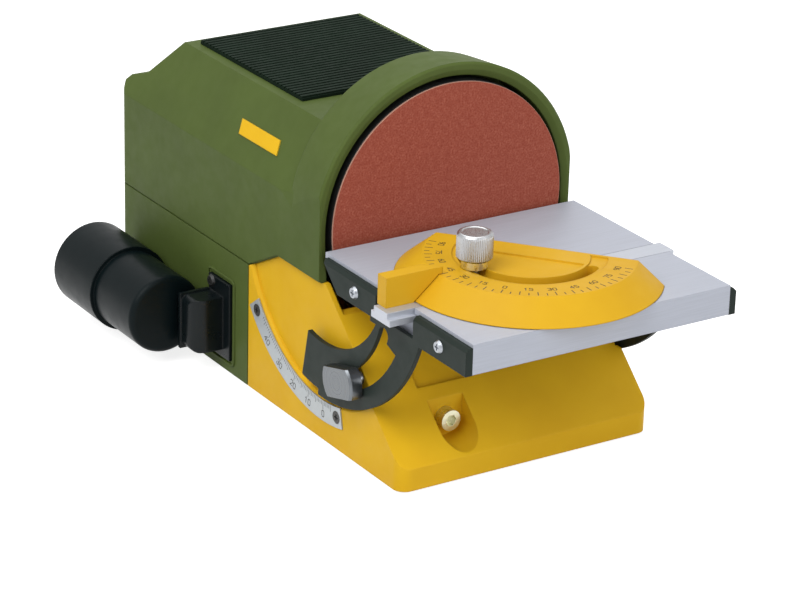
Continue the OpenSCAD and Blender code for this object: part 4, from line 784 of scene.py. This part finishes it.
@dataclass
class SeatBead:
    """Low moulded bead round the seat of the suction flange.

    Args:
        finish: the bead's material.
        wall_mm: place of the wall's outer face along X.
        margin: distance of the bead's middle line from the flange.
        flange: the flange's corners in the YZ plane.
        corner_r: radius of the bead's corners.
        width: width of the bead at its foot.
        rise: height of the bead over the wall.
        sunk: depth of its foot in the wall.
    """

    finish: bpy.types.Material
    wall_mm: float = -68.5
    margin: float = 2.4
    flange: tuple[float, float, float, float] = (79.8, 7.8, 99.8, 46.8)
    corner_r: float = 2.5
    width: float = 1.7
    rise: float = 0.8
    sunk: float = 0.1

    def build(self) -> bpy.types.Object:
        """Makes the bead as a closed ring.

        Returns:
            The bead's object.
        """
        y0, z0, y1, z1 = self.flange
        pull = self.corner_r - self.margin
        corners = np.array([[y1 - pull, z1 - pull], [y0 + pull, z1 - pull],
                            [y0 + pull, z0 + pull], [y1 - pull, z0 + pull]])
        turn = np.radians(np.arange(0, 91, 15)[None] + np.arange(4)[:, None] * 90).reshape(-1)
        out = np.stack([np.cos(turn), np.sin(turn)], axis=1)
        path = np.repeat(corners, 7, axis=0) + out * self.corner_r
        # sideways place and height of the bead's section, from the inner foot over the crown
        section = np.array([[-0.5, -self.sunk], [-0.25, self.rise], [0.25, self.rise], [0.5, -self.sunk]])
        flat = path[:, None] + out[:, None] * section[None, :, :1] * self.width
        height = np.broadcast_to(self.wall_mm - section[:, 1], flat.shape[:2])
        points = np.concatenate([height[..., None], flat], axis=2).reshape(-1, 3)
        i, k = np.meshgrid(np.arange(len(path)), np.arange(4), indexing="ij")
        j, m = (i + 1) % len(path), (k + 1) % 4
        faces = np.stack([j * 4 + k, j * 4 + m, i * 4 + m, i * 4 + k], axis=2).reshape(-1, 4)
        made = make_mesh("seat_bead", points * MM, faces, self.finish)
        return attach(made, Body.FRAME.value)


@dataclass
class Stage:
    """Floor, light and camera.

    Args:
        azimuth: camera direction round Z, in degrees.
        elevation: camera height, in degrees.
        roll: camera roll, in degrees.
        focal_px: focal length in picture points.
        offset_mm: camera place to the right of and above the line through the origin.
        distance_mm: camera distance.
        lift_mm: height of the measured frame above the bench.
        width_px: picture width.
        floor_glow: light of its own that lifts the floor to white and leaves it a soft shadow.
        surround: strength of the even light from all round.
        lights: name, place, size and power of each lamp.
    """

    azimuth: float = -33.0
    elevation: float = 22.6
    roll: float = 1.6
    focal_px: float = 3212.9
    offset_mm: tuple[float, float] = (-19.7, 50.3)
    distance_mm: float = 1515.8
    lift_mm: float = 1.0
    width_px: int = 800
    floor_glow: float = 0.82
    surround: float = 0.3
    lights: list[tuple[str, tuple[float, float, float], float, float]] = field(default_factory=lambda: [
        ("key", (-1.0, -0.35, 1.2), 1.1, 18.0),
        ("fill", (0.5, -1.35, 0.7), 1.4, 10.5),
        ("back", (0.15, 0.6, 1.5), 1.2, 8.5)])

    def camera(self) -> bpy.types.Object:
        """Makes the camera at the photograph's angle.

        Returns:
            The camera object.
        """
        a, e, r = (math.radians(v) for v in (self.azimuth, self.elevation, self.roll))
        back = Vector((math.sin(a) * math.cos(e), -math.cos(a) * math.cos(e), math.sin(e)))
        flat = Vector((math.cos(a), math.sin(a), 0))
        rise = back.cross(flat)
        right = flat * math.cos(r) + rise * math.sin(r)
        up = -flat * math.sin(r) + rise * math.cos(r)
        eye = (right * self.offset_mm[0] + up * self.offset_mm[1] + back * self.distance_mm) * MM
        eye.z += self.lift_mm * MM
        data = bpy.data.cameras.new("camera")
        data.sensor_width = 36.0
        data.lens = self.focal_px / self.width_px * 36.0
        data.clip_start, data.clip_end = 0.05, 20.0
        made = bpy.data.objects.new("camera", data)
        made.matrix_world = Matrix((right, up, back)).transposed().to_4x4()
        made.location = eye
        bpy.context.scene.collection.objects.link(made)
        bpy.context.scene.camera = made
        return made

    def floor(self) -> bpy.types.Object:
        """Makes the pale floor.

        Returns:
            The floor object.
        """
        points = np.array([[-6, -6, 0], [6, -6, 0], [6, 6, 0], [-6, 6, 0]], float)
        shade = bpy.data.materials.new("pale studio floor")
        shade.use_nodes = True
        tree = shade.node_tree
        tree.nodes.clear()
        tint = mix(tree, ramp(tree, noise(tree, 400.0), 0.0, 1.0), srgb("D2D2D2"), srgb("CECECE"))
        dull = add(tree, "ShaderNodeBsdfDiffuse", {"Color": tint}).outputs[0]
        shine = {"Color": (1, 1, 1, 1), "Strength": self.floor_glow}
        glow = add(tree, "ShaderNodeEmission", shine).outputs[0]
        white = add(tree, "ShaderNodeAddShader", {0: dull, 1: glow}).outputs[0]
        both = add(tree, "ShaderNodeMixShader", {0: seen(tree), 1: dull, 2: white}).outputs[0]
        add(tree, "ShaderNodeOutputMaterial", {"Surface": both})
        made = make_mesh("floor", points, [[0, 1, 2, 3]], shade)
        return made

    def light(self) -> None:
        """Makes soft studio lights and a white surround."""
        for name, place, size, power in self.lights:
            data = bpy.data.lights.new(name, "AREA")
            data.size = size
            data.energy = power
            made = bpy.data.objects.new(name, data)
            made.location = place
            made.rotation_euler = (Vector((0, 0, 0.08)) - Vector(place)).to_track_quat("-Z", "Y").to_euler()
            bpy.context.scene.collection.objects.link(made)
        world = bpy.data.worlds.new("studio")
        bpy.context.scene.world = world
        world.use_nodes = True
        tree = world.node_tree
        tree.nodes.clear()
        white = add(tree, "ShaderNodeBackground", {"Color": (1, 1, 1, 1), "Strength": 1.0}).outputs[0]
        lit = add(tree, "ShaderNodeBackground", {"Color": (1, 1, 1, 1), "Strength": self.surround}).outputs[0]
        both = add(tree, "ShaderNodeMixShader", {0: seen(tree), 1: lit, 2: white}).outputs[0]
        add(tree, "ShaderNodeOutputWorld", {"Surface": both})


class Sander:
    """The whole machine: finishes on the CAD nodes and the small look pieces."""

    def __init__(self) -> None:
        """Makes the materials of all slots."""
        self.materials = {slot: finish.build() for slot, finish in FINISHES.items()}
        # painted light: a lighter, glossier copy of the black polyamide that lifts the elbow out of its
        # shade, with the same blue-green tint standing in for a tinted sheen
        self.elbow = Moulded("black polyamide lifted out of shade", "0D1416", 0.3, edge_mm=1.2, gloss=0.19,
                             shade="0A1113").build()
        # black printing ink
        self.ink = Ink("printing ink", "1A1712", 0.6, edge_mm=0.05).build()
        # bright knurled aluminium of the gauge knob
        self.knurl = Ground("knurled aluminium", "B4B5B7", 0.3, 1.0, edge_mm=0.1,
                            stretch=(1.0, 1.0, 8.0)).build()

    def paint(self) -> None:
        """Gives every CAD node the finish of its slot, except the elbow, which gets a lighter copy of black
        polyamide as painted light.
        """
        for row in frame["record"]["subparts"]:
            node = frame["nodes"][row["node"]]
            node.data.materials.clear()
            # the elbow takes the lighter copy that stands in for light on its shaded faces
            elbow = row["node"] == "suction_elbow"
            node.data.materials.append(self.elbow if elbow else self.materials[row["material_slot"]])
            log.info("node %s gets %s", row["node"], row["material_slot"])

    def details(self) -> None:
        """Makes the look pieces."""
        ProtractorScale(self.ink).build()
        TiltScale(self.ink).build()
        KnurledKnob(self.knurl).build()
        SidePlate(self.materials["yellow_shell"]).build()
        SeatBead(self.materials["green_shell"]).build()


def main() -> None:
    """Builds the scene."""
    logging.basicConfig(level=logging.INFO, format="%(name)s: %(message)s")
    bpy.context.scene.view_settings.view_transform = "Standard"
    sander = Sander()
    sander.paint()
    sander.details()
    stage = Stage()
    stage.camera()
    stage.floor()
    stage.light()


if __name__ == "__main__":
    main()
